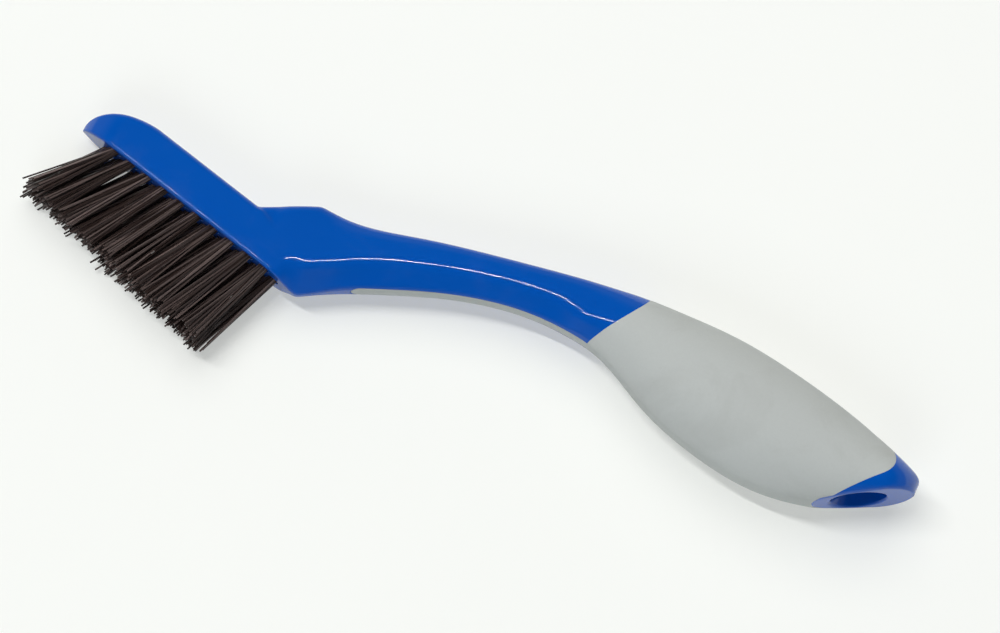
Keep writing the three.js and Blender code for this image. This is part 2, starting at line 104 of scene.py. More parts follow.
# End, its slanted face and the hanging hole. The hole's mouths are (wider, further out) rings outside the surface.
END_TIP_DEPTH = 8.3
END_TIP_WIDTH = 19.1
END_ROUND = 4.6
END_FULLNESS = 5.6
END_SIDE_ROUND = 8.4
END_SIDE_FULLNESS = 1.9
TIP_RISE = 1.3
BEVEL_EDGE = 1.0
BEVEL_FRONT = 0.15
BEVEL_RIM = 0.08
BEVEL_NEAR = 6.0
FACE_TIP_CURVE = 0.085
FACE_TIP_REACH = 2.5
FACE_TIP_SEARCH = 20.0
HOLE_FROM_END = 11.8
HOLE_LEAN = 3.0
HOLE_BACK_LENGTH = 9.0
HOLE_BACK_WIDTH = 7.4
HOLE_RIM = 0.7
HOLE_FACE_MOUTH = ((6.0, 3.0), (1.5, 0.25))
HOLE_BACK_MOUTH = ((0.5, 0.6), (2.0, 4.0))
HOLE_WALL = 0.6
HOLE_WALL_GAP = 0.06
HOLE_WALL_REACH = (-5.0, 6.0)

# Tongue of the grip and the groove that it lies in
TONGUE_SINK = 0.05
TONGUE_DEPTH = 1.5
TONGUE_LAP = 4.0
TONGUE_TAIL = 0.4
TONGUE_EDGE = 0.18
GROOVE_EDGE = 0.05
GROOVE_GAP = 0.12
GROOVE_OUTSIDE = 1.0

# Tufts and their holes. A hole's mouth is (height above the face, flare) rings.
TUFT_PITCH = 5.55
ROW_PITCH = 3.9
FIRST_TUFT = 9.0
LAST_TUFT = 3.6
TUFT_ROOT = 1.5
TUFT_HOLE_RADIUS = 1.5
TUFT_HOLE_DEPTH = 4.4
TUFT_HOLE_MOUTH = ((0.8, 1.2), (0.06, 0.36), (0.0, 0.25), (-0.05, 0.13), (-0.15, 0.04), (-0.3, 0.0))
FLOOR_GAP = 0.3

# Shallow sink marks on the sides of the neck: place behind the grip's front, height, depth and reach
SINK_MARKS = ((-5.2, 4.0, 0.2, 1.2), (-1.4, 5.0, -0.15, 1.4), (-2.0, 8.2, 0.22, 0.8), (3.4, 8.0, 0.16, 0.8))

# Soft local changes: place behind the heel, reach and amount. The second dip is placed behind the grip's front.
RIDGE_DIPS = ((6.5, 9.5, 0.125), (-3.0, 5.0, 0.15))
HEEL_BELLY = (3.0, 10.0, 0.7)
HEEL_SAG = (4.0, 10.0, 0.85)

# Where the section changes: from the heel, from the grip's front, and as shares of the grip's length
HEEL_BLEND = (-6.0, 8.0)
DIP_BLEND = (-8.0, -1.0)
BELLY_BLEND = (-3.0, 4.0)
GRIP_BLEND = -8.0
RIDGE_BLEND = -1.0
INTO_GRIP = 0.3
INTO_END = (0.72, 0.98)

# Section outlines: widths as shares of the half width, heights as shares of the depth, roundings in millimetres
SECTION_KEYS = (
    "belly_flat", "lower_side", "upper_side", "upper_width", "back_flat",
    "belly_round", "side_round", "upper_round", "back_round",
)
HEAD_SECTION = (1.0, 0.3, 0.62, 1.0, 0.97, 1.0, 1.5, 1.5, 6.0)
NECK_SECTION = (0.44, 0.445, 0.8, 0.93, 0.62, 1.2, 1.9, 2.0, 2.5)
GRIP_SECTION = (0.44, 0.28, 0.72, 1.0, 0.44, 9.0, 9.0, 9.0, 9.0)
END_SECTION = (0.58, 0.257, 0.668, 1.0, 0.475, 5.0, 6.0, 7.0, 7.0)

# Curves along the neck or the grip: share of its length, and share of the way from one size to the next
NECK_CENTRE = ((0, 0), (0.21, 0.295), (0.41, 0.606), (0.615, 0.849), (0.82, 0.985), (0.96, 1))
GRIP_CENTRE = ((0.075, 0.082), (0.227, 0.371), (0.432, 0.674), (0.645, 0.927), (0.867, 1.017))
NECK_DEPTH = ((0, 0), (0.125, 0.463), (0.31, 0.748), (0.513, 0.944), (0.745, 1))
NECK_REAR_DEPTH = ((0.925, 0.471),)
GRIP_START_DEPTH = ((0.028, 1),)
GRIP_DEPTH = ((0.227, 0.592), (0.371, 0.885), (0.537, 1))
END_DEPTH = ((0.682, 0.108), (0.867, 0.564), (0.981, 1))
NECK_WIDTH = ((0, 0), (0.21, 0.63), (0.745, 1))
GRIP_WIDTH = ((0, 0), (0.145, 0.418), (0.33, 0.865), (0.51, 1))
END_WIDTH = ((0.66, 0.116), (0.82, 0.563), (0.981, 1))

# Points of outlines, counts of rings, and rounds of the searches
STRAIGHT_POINTS = 12
TURN_POINTS = 25
FLAT_POINTS = 16
EDGE_POINTS = 20
CURVE_POINTS = 60
HALF_RING = 84
HOLE_POINTS = 96
TUFT_HOLE_POINTS = 28
GRIP_ROWS = 113
NORMAL_ROWS = 60
NOSE_RINGS = 36
TIP_RINGS = 30
RIM_RINGS = 9
WALL_RINGS = 14
TONGUE_RINGS = 14
SETTLE_ROUNDS = 60
SETTLE_SHARE = 0.35
MOUTH_ROUNDS = 20
TURN_WEIGHT = 0.7
INSIDE_STRIDE = 4
TINY = 1e-9

# Steps between the handle's rings: to the heel, round it, along the neck, round the grip's front, and to the tip
HEEL_RINGS = (-16, 14)
GRIP_FRONT_RINGS = (-11, 12)
RING_STEPS = (1.0, 0.5, 1.0, 0.4, 0.6)
GRIP_TABLE_STEP = 0.3
TONGUE_STEP = 1.2

# Random spread of the tufts: lean and sway in radians, height in metres, looseness as a factor
LEAN_SPREAD = 0.03
SWAY_SPREAD = 0.022
HEIGHT_SPREAD = 0.0003
LOOSENESS = (0.75, 1.2)
NOSE_LOOSENESS = 1.6
NOSE_LOOSENESS_REACH = 4
FULL_TURN = 6.28
GOLDEN_TURN = 2.399963
ROW_SEED_STEP = 17

# Angles in degrees past which an edge is shaded sharp
CREASE = 35
FILAMENT_CREASE = 50

# Stage: floor and distances in metres, camera angles in degrees, camera target in millimetres
FLOOR_RADIUS = 8.0
FLOOR_POINTS = 96
FLOOR_GLOW = 0.4
CAMERA_AZIMUTH = 23.0205
CAMERA_ELEVATION = 71.978
CAMERA_ROLL = 1.4178
CAMERA_TARGET = (5.9012, 10.4285, 9.0)
CAMERA_DISTANCE = 0.9
CAMERA_LENS = 128.4

# Lamps: name, place, size, power, colour, and whether glossy surfaces mirror it
LAMPS = (
    ("overhead", (-0.5, 1.6, 3.4), (3.4, 3.4), 75.0, (1.0, 1.0, 0.98), False),
    ("fill", (0.4, -3.0, 2.4), (2.4, 1.6), 36.0, (0.82, 0.91, 1.0), False),
    ("strip", (-1.0, 0.0, 3.0), (0.04, 2.0), 46.0, (1.0, 1.0, 1.0), True),
)


def length_property(name, description, metres, **more):
    return bpy.props.FloatProperty(name=name, description=description, default=metres, unit="LENGTH", **more)


def angle_property(name, description, degrees):
    return bpy.props.FloatProperty(
        name=name, description=description, default=math.radians(degrees), subtype="ANGLE")


def colour_property(name, description, colour):
    return bpy.props.FloatVectorProperty(
        name=name, description=description, default=colour, subtype="COLOR", size=3, min=0, max=1)


class BrushSizes(bpy.types.PropertyGroup):
    """Main sizes of the handle."""

    head_length: length_property("Head Length", "Brush face from nose to heel", 0.0683)
    head_width: length_property("Head Width", "Head across the tuft rows", 0.014)
    head_thickness: length_property("Head Thickness", "Brush face to the head's back", 0.0117)
    head_tilt: angle_property("Head Tilt", "Fall of the brush face towards the heel", 15.05)
    neck_length: length_property("Neck Length", "Heel to the front of the grip", 0.076)
    neck_depth: length_property("Neck Depth", "Neck at its slimmest place, belly to back", 0.01246)
    neck_width: length_property("Neck Width", "Neck at its slimmest place, side to side", 0.0124)
    neck_arch: length_property("Neck Arch", "Highest point of the handle's centre line", 0.00711)
    heel_depth: length_property("Heel Depth", "Neck where it leaves the head", 0.0249)
    grip_length: length_property("Grip Length", "Front to rear of the grip along the back", 0.0807)
    grip_depth: length_property("Grip Depth", "Grip at its thickest place, belly to back", 0.0312)
    grip_width: length_property("Grip Width", "Grip at its thickest place, side to side", 0.0248)
    end_length: length_property("End Length", "End of the handle behind the grip", 0.009)
    end_depth: length_property("End Depth", "End before its slanted face is cut", 0.0166)
    end_width: length_property("End Width", "End behind the grip, side to side", 0.0202)
    end_height: length_property("End Height", "Tip of the end above the long axis", -0.00357)
    bevel_angle: angle_property("Slanted Face Angle", "Slanted end face, from the long axis", 29)
    hole_length: length_property("Hole Length", "Hanging hole along the handle, at the slanted face", 0.0135)
    hole_width: length_property("Hole Width", "Hanging hole across the handle, at the slanted face", 0.0124)
    tongue_length: length_property("Tongue Length", "Grip's tongue along the belly of the neck", 0.0603)
    tongue_width: length_property("Tongue Width", "Width of the grip's tongue", 0.0044)


class TuftSettings(bpy.types.PropertyGroup):
    """Filaments of the tufts."""

    filaments: bpy.props.IntProperty(
        name="Filaments", description="Filaments in one tuft", default=34, min=1)
    thickness: length_property("Thickness", "Diameter of one filament", 0.00046, precision=5)
    tuft_radius: length_property("Tuft Radius", "Radius of a tuft at the brush face", 0.00125, precision=5)
    tip_spread: bpy.props.FloatProperty(
        name="Tip Spread", description="How far the outer filaments lean out of the tuft, per length", default=0.05)
    stray: bpy.props.FloatProperty(
        name="Stray", description="Random lean of single filaments, per length", default=0.046)
    bend: length_property("Bend", "Random bow of single filaments at their tips", 0.0007, precision=5)
    unevenness: length_property("Unevenness", "Spread of the trimmed lengths", 0.0009, precision=5)
    height_nose: length_property("Height at Nose", "Tuft height above the brush face at the nose", 0.0207)
    height_heel: length_property("Height at Heel", "Tuft height above the brush face at the heel", 0.0257)
    lean_nose: angle_property("Lean at Nose", "Lean of the tufts towards the nose, at the nose", 23)
    lean_heel: angle_property("Lean at Heel", "Lean of the tufts towards the nose, at the heel", 8.5)
    seed: bpy.props.IntProperty(name="Seed", description="Seed of every random value of the tufts", default=11)


class BrushFinish(bpy.types.PropertyGroup):
    """Colours of the finishes."""

    handle_colour: colour_property("Handle", "Colour of the glossy plastic", (0.0006, 0.080, 0.42))
    grip_colour: colour_property("Grip", "Colour of the soft grip", (0.484, 0.506, 0.490))
    filament_colour: colour_property("Filaments", "Colour of the filaments", (0.056, 0.0345, 0.0295))
    anchor_colour: colour_property("Anchors", "Colour of the tuft anchors", (0.45, 0.44, 0.40))
    floor_colour: colour_property("Floor", "Colour of the floor", (0.945, 0.955, 0.92))


# Form of the handle


def natural_spline(knots):
    """Smooth curve through (place, value) knots, straight beyond its ends."""
    x, y = (np.array(column, float) for column in zip(*knots))
    gap = np.diff(x)
    last = len(x) - 1
    system = np.eye(last + 1)
    turn = np.zeros(last + 1)
    for i in range(1, last):
        system[i, i - 1:i + 2] = gap[i - 1], 2 * (gap[i - 1] + gap[i]), gap[i]
        turn[i] = 6 * ((y[i + 1] - y[i]) / gap[i] - (y[i] - y[i - 1]) / gap[i - 1])
    bend = np.linalg.solve(system, turn)

    def curve(at):
        at = np.asarray(at, float)
        place = np.clip(at, x[0], x[-1])
        i = np.clip(np.searchsorted(x, place, side="right") - 1, 0, last - 1)
        step = gap[i]
        after = x[i + 1] - place
        before = place - x[i]
        value = (
            (bend[i] * after**3 + bend[i + 1] * before**3) / (6 * step)
            + (y[i] / step - bend[i] * step / 6) * after
            + (y[i + 1] / step - bend[i + 1] * step / 6) * before
        )
        slope = (
            (y[i + 1] - y[i]) / step
            + bend[i + 1] * (3 * before**2 - step**2) / (6 * step)
            - bend[i] * (3 * after**2 - step**2) / (6 * step)
        )
        return value + slope * (at - place)

    return curve


def rounded_max(a, b, rounding):
    return (a + b + np.hypot(a - b, rounding)) / 2


def rounded_min(a, b, rounding):
    return (a + b - np.hypot(a - b, rounding)) / 2


def smoothstep(value, low, high):
    share = np.clip((value - low) / (high - low), 0, 1)
    return share * share * (3 - 2 * share)


def quarter_rise(along, length, fullness=2.0):
    """Quarter of a rounded outline, from 0 to 1 over a length: 2 is an ellipse, 1 a straight slope."""
    return (1 - np.maximum(0, 1 - along / length) ** fullness) ** (1 / fullness)


def between(first, second, share):
    return first + (second - first) * share


def stretch(start, span):
    """Both ends of a span that is given from a start."""
    return start + span[0], start + span[1]


def hump(u, start, place, reach, amount):
    """Soft swelling round a place that is given from a start."""
    return amount * np.exp(-((u - start - place) / reach) ** 2)


def evenly(start, stop, step):
    """Places from start up to, but not at, stop."""
    count = max(1, math.ceil((stop - start) / step))
    return start + (stop - start) * np.arange(count) / count


def eased(first, count):
    """Shares up to 1 that lie close together at their start."""
    return 1 - np.cos(np.linspace(first, 1, count) * math.pi / 2)


def circle(count):
    """Angles of points spread evenly round a circle."""
    return np.linspace(0, 2 * math.pi, count + 1)[:-1]


def rounded_corner(start, corner, stop, t):
    """Points, at shares t, of the curve that rounds a corner."""
    return start * (1 - t) ** 2 + 2 * corner * t * (1 - t) + stop * t**2


class HandleForm:
    """Skin of the handle in millimetres: u from nose to end, v towards the back, z across."""

    def __init__(self, sizes):
        self.tilt = sizes.head_tilt
        self.head_width = sizes.head_width / MM
        self.head_thickness = sizes.head_thickness / MM
        self.face_length = sizes.head_length / MM
        self.bevel = sizes.bevel_angle
        self.end_height = sizes.end_height / MM
        self.hole_length = sizes.hole_length / MM
        self.hole_width = sizes.hole_width / MM
        self.tongue_length = sizes.tongue_length / MM
        self.tongue_width = sizes.tongue_width / MM
        neck_length = sizes.neck_length / MM
        grip_length = sizes.grip_length / MM
        self.heel = self.face_length * math.cos(self.tilt)
        self.grip_front = self.heel + neck_length
        self.grip_rear = self.grip_front + grip_length
        self.end = self.grip_rear + sizes.end_length / MM
        self.hole = self.end - HOLE_FROM_END

        def neck(share):
            return self.heel + share * neck_length

        def grip(share):
            return self.grip_front + share * grip_length

        def curve(last, *runs):
            knots = [
                (place(along), between(first, second, share))
                for place, first, second, shares in runs for along, share in shares
            ]
            return natural_spline([*knots, (self.end, last)])

        self.into_grip = grip(INTO_GRIP)
        self.into_end = grip(INTO_END[0]), grip(INTO_END[1])
        arch, tip = sizes.neck_arch / MM, self.end_height
        heel_depth, neck_depth = sizes.heel_depth / MM, sizes.neck_depth / MM
        grip_depth, end_depth = sizes.grip_depth / MM, sizes.end_depth / MM
        neck_width, grip_width = sizes.neck_width / MM, sizes.grip_width / MM
        end_width = sizes.end_width / MM
        heel_centre = SHOULDER_HEIGHT - heel_depth / 2
        self.centre = curve(tip, (neck, heel_centre, arch, NECK_CENTRE), (grip, arch, tip, GRIP_CENTRE))
        self.depth = curve(
            END_TIP_DEPTH, (neck, heel_depth, neck_depth, NECK_DEPTH),
            (neck, neck_depth, GRIP_FRONT_DEPTH, NECK_REAR_DEPTH),
            (grip, neck_depth, GRIP_FRONT_DEPTH, GRIP_START_DEPTH),
            (grip, GRIP_FRONT_DEPTH, grip_depth, GRIP_DEPTH), (grip, grip_depth, end_depth, END_DEPTH))
        self.width = curve(
            END_TIP_WIDTH, (neck, HEEL_WIDTH, neck_width, NECK_WIDTH),
            (grip, GRIP_FRONT_WIDTH, grip_width, GRIP_WIDTH), (grip, grip_width, end_width, END_WIDTH))

    def face_height(self, u):
        return -FACE_DROP - u * math.tan(self.tilt)

    def bevel_height(self, u):
        return self.end_height - (self.end - u) * math.tan(self.bevel)

    def head_back(self, u):
        full = self.head_thickness / math.cos(self.tilt)
        return self.face_height(u) + between(NOSE_LIP, full, quarter_rise(u, NOSE_RISE, NOSE_RISE_FULLNESS))

    def back(self, u):
        shoulder = SHOULDER_HEIGHT + (u - self.heel) * math.tan(SHOULDER_SLOPE)
        behind = rounded_min(shoulder, self.centre(u) + self.depth(u) / 2, SHOULDER_ROUND)
        return rounded_max(self.head_back(u), behind, SHOULDER_FOOT_ROUND)

    def belly(self, u):
        heel = self.centre(u) - self.depth(u) / 2 - hump(u, self.heel, *HEEL_SAG)
        return rounded_max(self.face_height(u), heel, HEEL_ROUND)

    def half_width(self, u):
        share = smoothstep(u, self.heel - HEAD_NARROWING, self.heel)
        head = self.head_width * quarter_rise(u, NOSE_TAPER, NOSE_TAPER_FULLNESS)
        return between(head, self.width(u), share) / 2

    def section(self, u):
        """Values of the section outline at each place, by name."""
        past_heel = smoothstep(u, *stretch(self.heel, HEEL_BLEND))[:, None]
        in_grip = smoothstep(u, self.grip_front + GRIP_BLEND, self.into_grip)[:, None]
        in_end = smoothstep(u, *self.into_end)[:, None]
        head, neck, grip, end = map(np.array, (HEAD_SECTION, NECK_SECTION, GRIP_SECTION, END_SECTION))
        values = between(between(between(head, neck, past_heel), grip, in_grip), end, in_end)
        shape = dict(zip(SECTION_KEYS, values.T))
        ridge = SECTION_KEYS.index("side_round")
        ridge_end = smoothstep(u, self.grip_front + RIDGE_BLEND, self.into_grip)
        on_neck = (u > self.heel + HEEL_BLEND[1]) & (u < self.into_grip)
        shape["side_round"] = np.where(on_neck, between(neck[ridge], grip[ridge], ridge_end), shape["side_round"])
        behind_face = smoothstep(u, *stretch(self.heel, DIP_BLEND))
        for start, dip in zip((self.heel, self.grip_front), RIDGE_DIPS):
            shape["lower_side"] = shape["lower_side"] - hump(u, start, *dip) * behind_face
        narrower = hump(u, self.heel, *HEEL_BELLY) * smoothstep(u, *stretch(self.heel, BELLY_BLEND))
        shape["belly_flat"] = shape["belly_flat"] * (1 - narrower)
        return shape

    def half_outlines(self, u):
        """Dense half outlines (v, z) at each place, from the middle of the belly to the middle of the back."""
        shape = self.section(u)
        share = quarter_rise(self.end - u, END_ROUND, END_FULLNESS)
        back = between(self.end_height + TIP_RISE, self.back(u), share)
        belly = between(self.end_height + TIP_RISE, self.belly(u), share)
        width = self.half_width(u) * quarter_rise(self.end - u, END_SIDE_ROUND, END_SIDE_FULLNESS)
        depth = back - belly
        v = np.stack([
            belly, belly, belly + depth * shape["lower_side"], belly + depth * shape["upper_side"], back, back,
        ], 1)
        z = np.stack([
            0 * width, width * shape["belly_flat"], width, width * shape["upper_width"], width * shape["back_flat"],
            0 * width,
        ], 1)
        corner = np.stack([v, z], 2)
        rounding = np.stack([shape[key] for key in ("belly_round", "side_round", "upper_round", "back_round")], 1)
        straight = np.linspace(0, 1, STRAIGHT_POINTS)[None, :, None]
        turn = np.linspace(0, 1, TURN_POINTS)[None, 1:-1, None]

        def toward(here, there, reach):
            step = there - here
            length = np.maximum(np.linalg.norm(step, axis=1, keepdims=True), TINY)
            return here + step * np.minimum(reach / length, 0.5)

        pieces = []
        leave = corner[:, 0]
        for i in range(1, 5):
            here, reach = corner[:, i], rounding[:, i - 1, None]
            near, far = toward(here, corner[:, i - 1], reach), toward(here, corner[:, i + 1], reach)
            pieces.append(between(leave[:, None], near[:, None], straight))
            pieces.append(rounded_corner(near[:, None], here[:, None], far[:, None], turn))
            leave = far
        pieces.append(between(leave[:, None], corner[:, 5, None], straight))
        outline = np.concatenate(pieces, 1)
        middle = (belly + back)[:, None] / 2
        low = np.clip((middle - outline[:, :, 0]) / np.maximum(middle - belly[:, None], TINY), 0, 1)
        crown = BELLY_CROWN * smoothstep(u, self.grip_front, self.into_grip)[:, None]
        outline[:, :, 0] += crown * low**2 * (outline[:, :, 1] / np.maximum(width, TINY)[:, None]) ** 2
        return outline, belly

    def skin(self, u, count):
        """Points (stations, count, 3) of one half of the skin, denser where the outline turns."""
        u = np.asarray(u, float)
        outlines, belly = self.half_outlines(u)
        low = rounded_max(belly, self.bevel_height(u), BEVEL_FRONT)
        grid = np.empty((len(u), count, 3))
        for i, outline in enumerate(outlines):
            if self.bevel_height(u[i]) > belly[i] - BEVEL_NEAR:
                outline = slanted_cut(outline, low[i])
            grid[i, :, 0] = u[i]
            grid[i, :, 1:] = even_outline(outline, count)
        return self.pressed_sides(grid)

    def pressed_sides(self, grid):
        """The skin with the arc of the head's back edge and the sink marks pressed into its sides."""
        u, v, z = np.moveaxis(grid, 2, 0)
        past = u - self.heel + ARC_AHEAD_OF_HEEL
        edge = self.head_back(u) - ARC_DROP - ARC_BEND * np.maximum(past - ARC_BEND_START, 0) ** 2
        fade = smoothstep(past, *ARC_FADE_IN) * (1 - smoothstep(past, ARC_REACH - ARC_FADE_OUT, ARC_REACH))
        width = self.half_width(u)
        lowered = ARC_DEPTH * fade * smoothstep(v - edge, *ARC_BAND) * (z / width) ** 2
        for along, height, depth, reach in SINK_MARKS:
            from_mark = ((u - self.grip_front - along) ** 2 + (v - height) ** 2) / reach**2
            lowered += depth * np.exp(-from_mark) * (z / width) ** 2
        return np.stack([u, v, z - lowered], 2)


def slanted_cut(outline, low):
    """Outline above the slanted end face, with the edge between them rounded."""
    above = int(np.argmax(outline[:, 0] > low))
    start, stop = outline[above - 1], outline[above]
    share = (low - start[0]) / max(stop[0] - start[0], TINY)
    edge = start + (stop - start) * np.clip(share, 0, 1)
    rest = np.vstack([edge, outline[above:]])
    run = np.concatenate([[0], np.cumsum(np.linalg.norm(np.diff(rest, axis=0), axis=1))])
    reach = min(BEVEL_EDGE, edge[1] * 0.5, run[-1] * 0.3)
    near = np.array([low, edge[1] - reach])
    far = np.array([np.interp(reach, run, rest[:, k]) for k in range(2)])
    flat = np.stack([np.full(FLAT_POINTS, low), np.linspace(0, near[1], FLAT_POINTS)], 1)
    turn = rounded_corner(near, edge, far, np.linspace(0, 1, EDGE_POINTS)[1:, None])
    return np.vstack([flat, turn, rest[run > reach + 1e-6]])


def even_outline(outline, count):
    """The outline with its points spread by length and by turning angle."""
    edge = np.diff(outline, axis=0)
    length = np.linalg.norm(edge, axis=1)
    keep = np.concatenate([[True], length > 1e-7])
    outline = outline[keep]
    edge = np.diff(outline, axis=0)
    length = np.linalg.norm(edge, axis=1)
    heading = np.unwrap(np.arctan2(edge[:, 1], edge[:, 0]))
    bend = np.abs(np.diff(heading))
    turning = np.zeros(len(length))
    turning[:-1] += bend / 2
    turning[1:] += bend / 2
    weight = length / length.sum() + TURN_WEIGHT * turning / max(turning.sum(), 1e-6)
    run = np.concatenate([[0], np.cumsum(weight)])
    at = np.linspace(0, run[-1], count)
    return np.stack([np.interp(at, run, outline[:, 0]), np.interp(at, run, outline[:, 1])], 1)


def both_sides(half):
    """Closed rings from half rings whose first and last points lie in the middle plane."""
    other = half[:, -2:0:-1] * np.array([1, 1, -1])
    return np.concatenate([half, other], 1)


def ring_normals(rings):
    """Outward normals of a grid of closed rings."""
    along = np.gradient(rings, axis=0)
    around = np.roll(rings, -1, 1) - np.roll(rings, 1, 1)
    normal = np.cross(along, around)
    normal /= np.maximum(np.linalg.norm(normal, axis=2, keepdims=True), 1e-12)
    middle = rings.mean(1, keepdims=True)
    outward = np.sign(np.sum(normal * (rings - middle), axis=(1, 2)))
    return normal * np.where(outward == 0, 1, outward)[:, None, None]


def on_floor(points):
    """Points of the handle's own frame, in millimetres, as points of the scene in metres."""
    points = np.asarray(points, float).reshape(-1, 3)
    cos, sin = math.cos(LYING_TILT), math.sin(LYING_TILT)
    x = points[:, 0] * cos + points[:, 2] * sin
    z = -points[:, 0] * sin + points[:, 2] * cos
    return (np.stack([x, points[:, 1], z], 1) + LYING_PLACE) * MM


def floor_directions(vectors):
    """Directions of the handle's own frame as directions of the scene."""
    return (on_floor(vectors) - on_floor((0, 0, 0))) / MM


# Meshes


def ring_faces(rows, count, close_rows):
    """Quads between closed rings, and either caps at both ends or quads from the last ring to the first."""
    faces = []
    for row in range(rows if close_rows else rows - 1):
        here, there = row * count, (row + 1) % rows * count
        for i in range(count):
            j = (i + 1) % count
            faces.append((here + i, here + j, there + j, there + i))
    if not close_rows:
        faces.append(tuple(reversed(range(count))))
        faces.append(tuple((rows - 1) * count + i for i in range(count)))
    return faces


def new_piece(name, points, faces):
    """Object with a closed mesh whose faces point outwards."""
    mesh = bpy.data.meshes.new(name)
    mesh.from_pydata(on_floor(points).tolist(), [], faces)
    mesh.validate()
    piece = bpy.data.objects.new(name, mesh)
    bpy.context.scene.collection.objects.link(piece)
    if signed_volume(mesh) < 0:
        mesh.flip_normals()
    return piece


def ring_piece(name, rings, close_rows=False):
    """Object whose skin runs over a grid of closed rings."""
    return new_piece(name, rings.reshape(-1, 3), ring_faces(*rings.shape[:2], close_rows))


def signed_volume(mesh):
    """Six times the volume inside a mesh, below zero where its faces point inwards."""
    mesh.calc_loop_triangles()
    points = np.empty(len(mesh.vertices) * 3)
    mesh.vertices.foreach_get("co", points)
    corners = np.empty(len(mesh.loop_triangles) * 3, np.int64)
    mesh.loop_triangles.foreach_get("vertices", corners)
    a, b, c = points.reshape(-1, 3)[corners].reshape(-1, 3, 3).transpose(1, 0, 2)
    return float(np.sum(a * np.cross(b, c)))


def carve(piece, tool, operation):
    """Cuts a tool from a piece or joins it on, and removes the tool."""
    change = piece.modifiers.new("carve", "BOOLEAN")
    change.operation = operation
    change.solver = "MANIFOLD"
    change.object = tool
    before = len(piece.data.vertices)
    evaluated = piece.evaluated_get(bpy.context.evaluated_depsgraph_get())
    mesh = bpy.data.meshes.new_from_object(evaluated)
    piece.modifiers.clear()
    if len(mesh.vertices) in (0, before):
        raise RuntimeError(f"{tool.name} did not change {piece.name}")
    old = piece.data
    mesh.name = piece.name
    piece.data = mesh
    bpy.data.meshes.remove(old)
    tool_mesh = tool.data
    bpy.data.objects.remove(tool)
    bpy.data.meshes.remove(tool_mesh)


def finish_piece(piece, material, body_nodes, crease=CREASE):
    """Smooth shading and material for a finished piece, which then hangs under the frame's root and hides the frame's
    parts that it stands for.
    """
    piece.data.materials.clear()
    piece.data.materials.append(material)
    piece.data.shade_smooth()
    piece.data.set_sharp_from_angle(angle=math.radians(crease))
    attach(piece, "root")
    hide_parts(*body_nodes)


def grip_edges(form):
    """Front and rear edges of the grip in the side view: place along the handle by height, and across at the rear."""
    low = float(form.belly(form.grip_front))
    depth = float(form.back(form.grip_front)) - low
    t = np.linspace(0, 1, CURVE_POINTS)
    first, first_up, second, second_up = GRIP_FRONT_CURVE

    def swing(one, two):
        return 3 * one * t * (1 - t) ** 2 + 3 * two * t**2 * (1 - t) + t**3

    front_u = form.grip_front + GRIP_FRONT_LEAN * swing(first, second)
    front_v = low + depth * swing(first_up, second_up)
    top = float(form.back(form.grip_rear))

    def slant(height):
        return form.grip_rear + (height - top + GRIP_REAR_DROP) / math.tan(GRIP_REAR_ANGLE)

    corner, start = top - GRIP_REAR_ROUND * GRIP_REAR_CORNER, top - GRIP_REAR_ROUND
    knots = np.array([[form.grip_rear, top], [slant(corner), corner], [slant(start), start]])
    bow = rounded_corner(*knots, t[:, None])
    bow = np.vstack([bow, [[slant(start - GRIP_REAR_RUN), start - GRIP_REAR_RUN]]])[::-1]
    last = evenly(form.grip_rear - FACE_TIP_SEARCH, form.end, 0.05)
    face_tip = last[np.argmax(form.bevel_height(last) > form.belly(last))]

    def front(v):
        return np.interp(v, front_v, front_u)

    def rear(v, z):
        rim = form.end + (v - form.end_height - BEVEL_RIM / math.cos(form.bevel)) / math.tan(form.bevel)
        round_tip = face_tip + np.minimum(FACE_TIP_CURVE * z**2, FACE_TIP_REACH)
        return np.minimum(np.interp(v, bow[:, 1], bow[:, 0]), np.maximum(rim, round_tip))

    return front, rear


def handle_rings(form):
    """Rings of the plastic skin, sunk a little where the grip covers it."""
    tip_start = form.end - END_SIDE_ROUND
    stops = (NOSE_RISE, *stretch(form.heel, HEEL_RINGS), *stretch(form.grip_front, GRIP_FRONT_RINGS), tip_start)
    stretches = [evenly(start, stop, step) for start, stop, step in zip(stops, stops[1:], RING_STEPS)]
    nose = NOSE_RISE * eased(0.02, NOSE_RINGS)[:-1]
    tip = form.end - END_SIDE_ROUND * eased(0.04, TIP_RINGS)[::-1]
    rings = both_sides(form.skin(np.concatenate([nose, *stretches, tip]), HALF_RING))
    front, rear = grip_edges(form)
    u, v, z = np.moveaxis(rings, 2, 0)
    covered = np.minimum(u - front(v), rear(v, z) - u)
    covered = np.minimum(covered, outside_hole(form, rings) - HOLE_WALL)
    sink = COVER_SINK * smoothstep(covered, *COVER_BLEND)
    return rings - ring_normals(rings) * sink[:, :, None]


def hole_oval(form, v):
    """Middle and half axes of the hanging hole's oval at a height."""
    face_level = form.bevel_height(form.hole)
    share = (v - face_level) / (float(form.back(form.hole)) - face_level)
    length = between(form.hole_length, HOLE_BACK_LENGTH, share) / 2
    width = between(form.hole_width, HOLE_BACK_WIDTH, share) / 2
    return form.hole - HOLE_LEAN * share, length, width


def outside_hole(form, points):
    """Distance of points from the wall of the hanging hole, about."""
    middle, length, width = hole_oval(form, points[..., 1])
    length, width = np.maximum(length, 1), np.maximum(width, 1)
    return (np.hypot((points[..., 0] - middle) / length, points[..., 2] / width) - 1) * np.minimum(length, width)


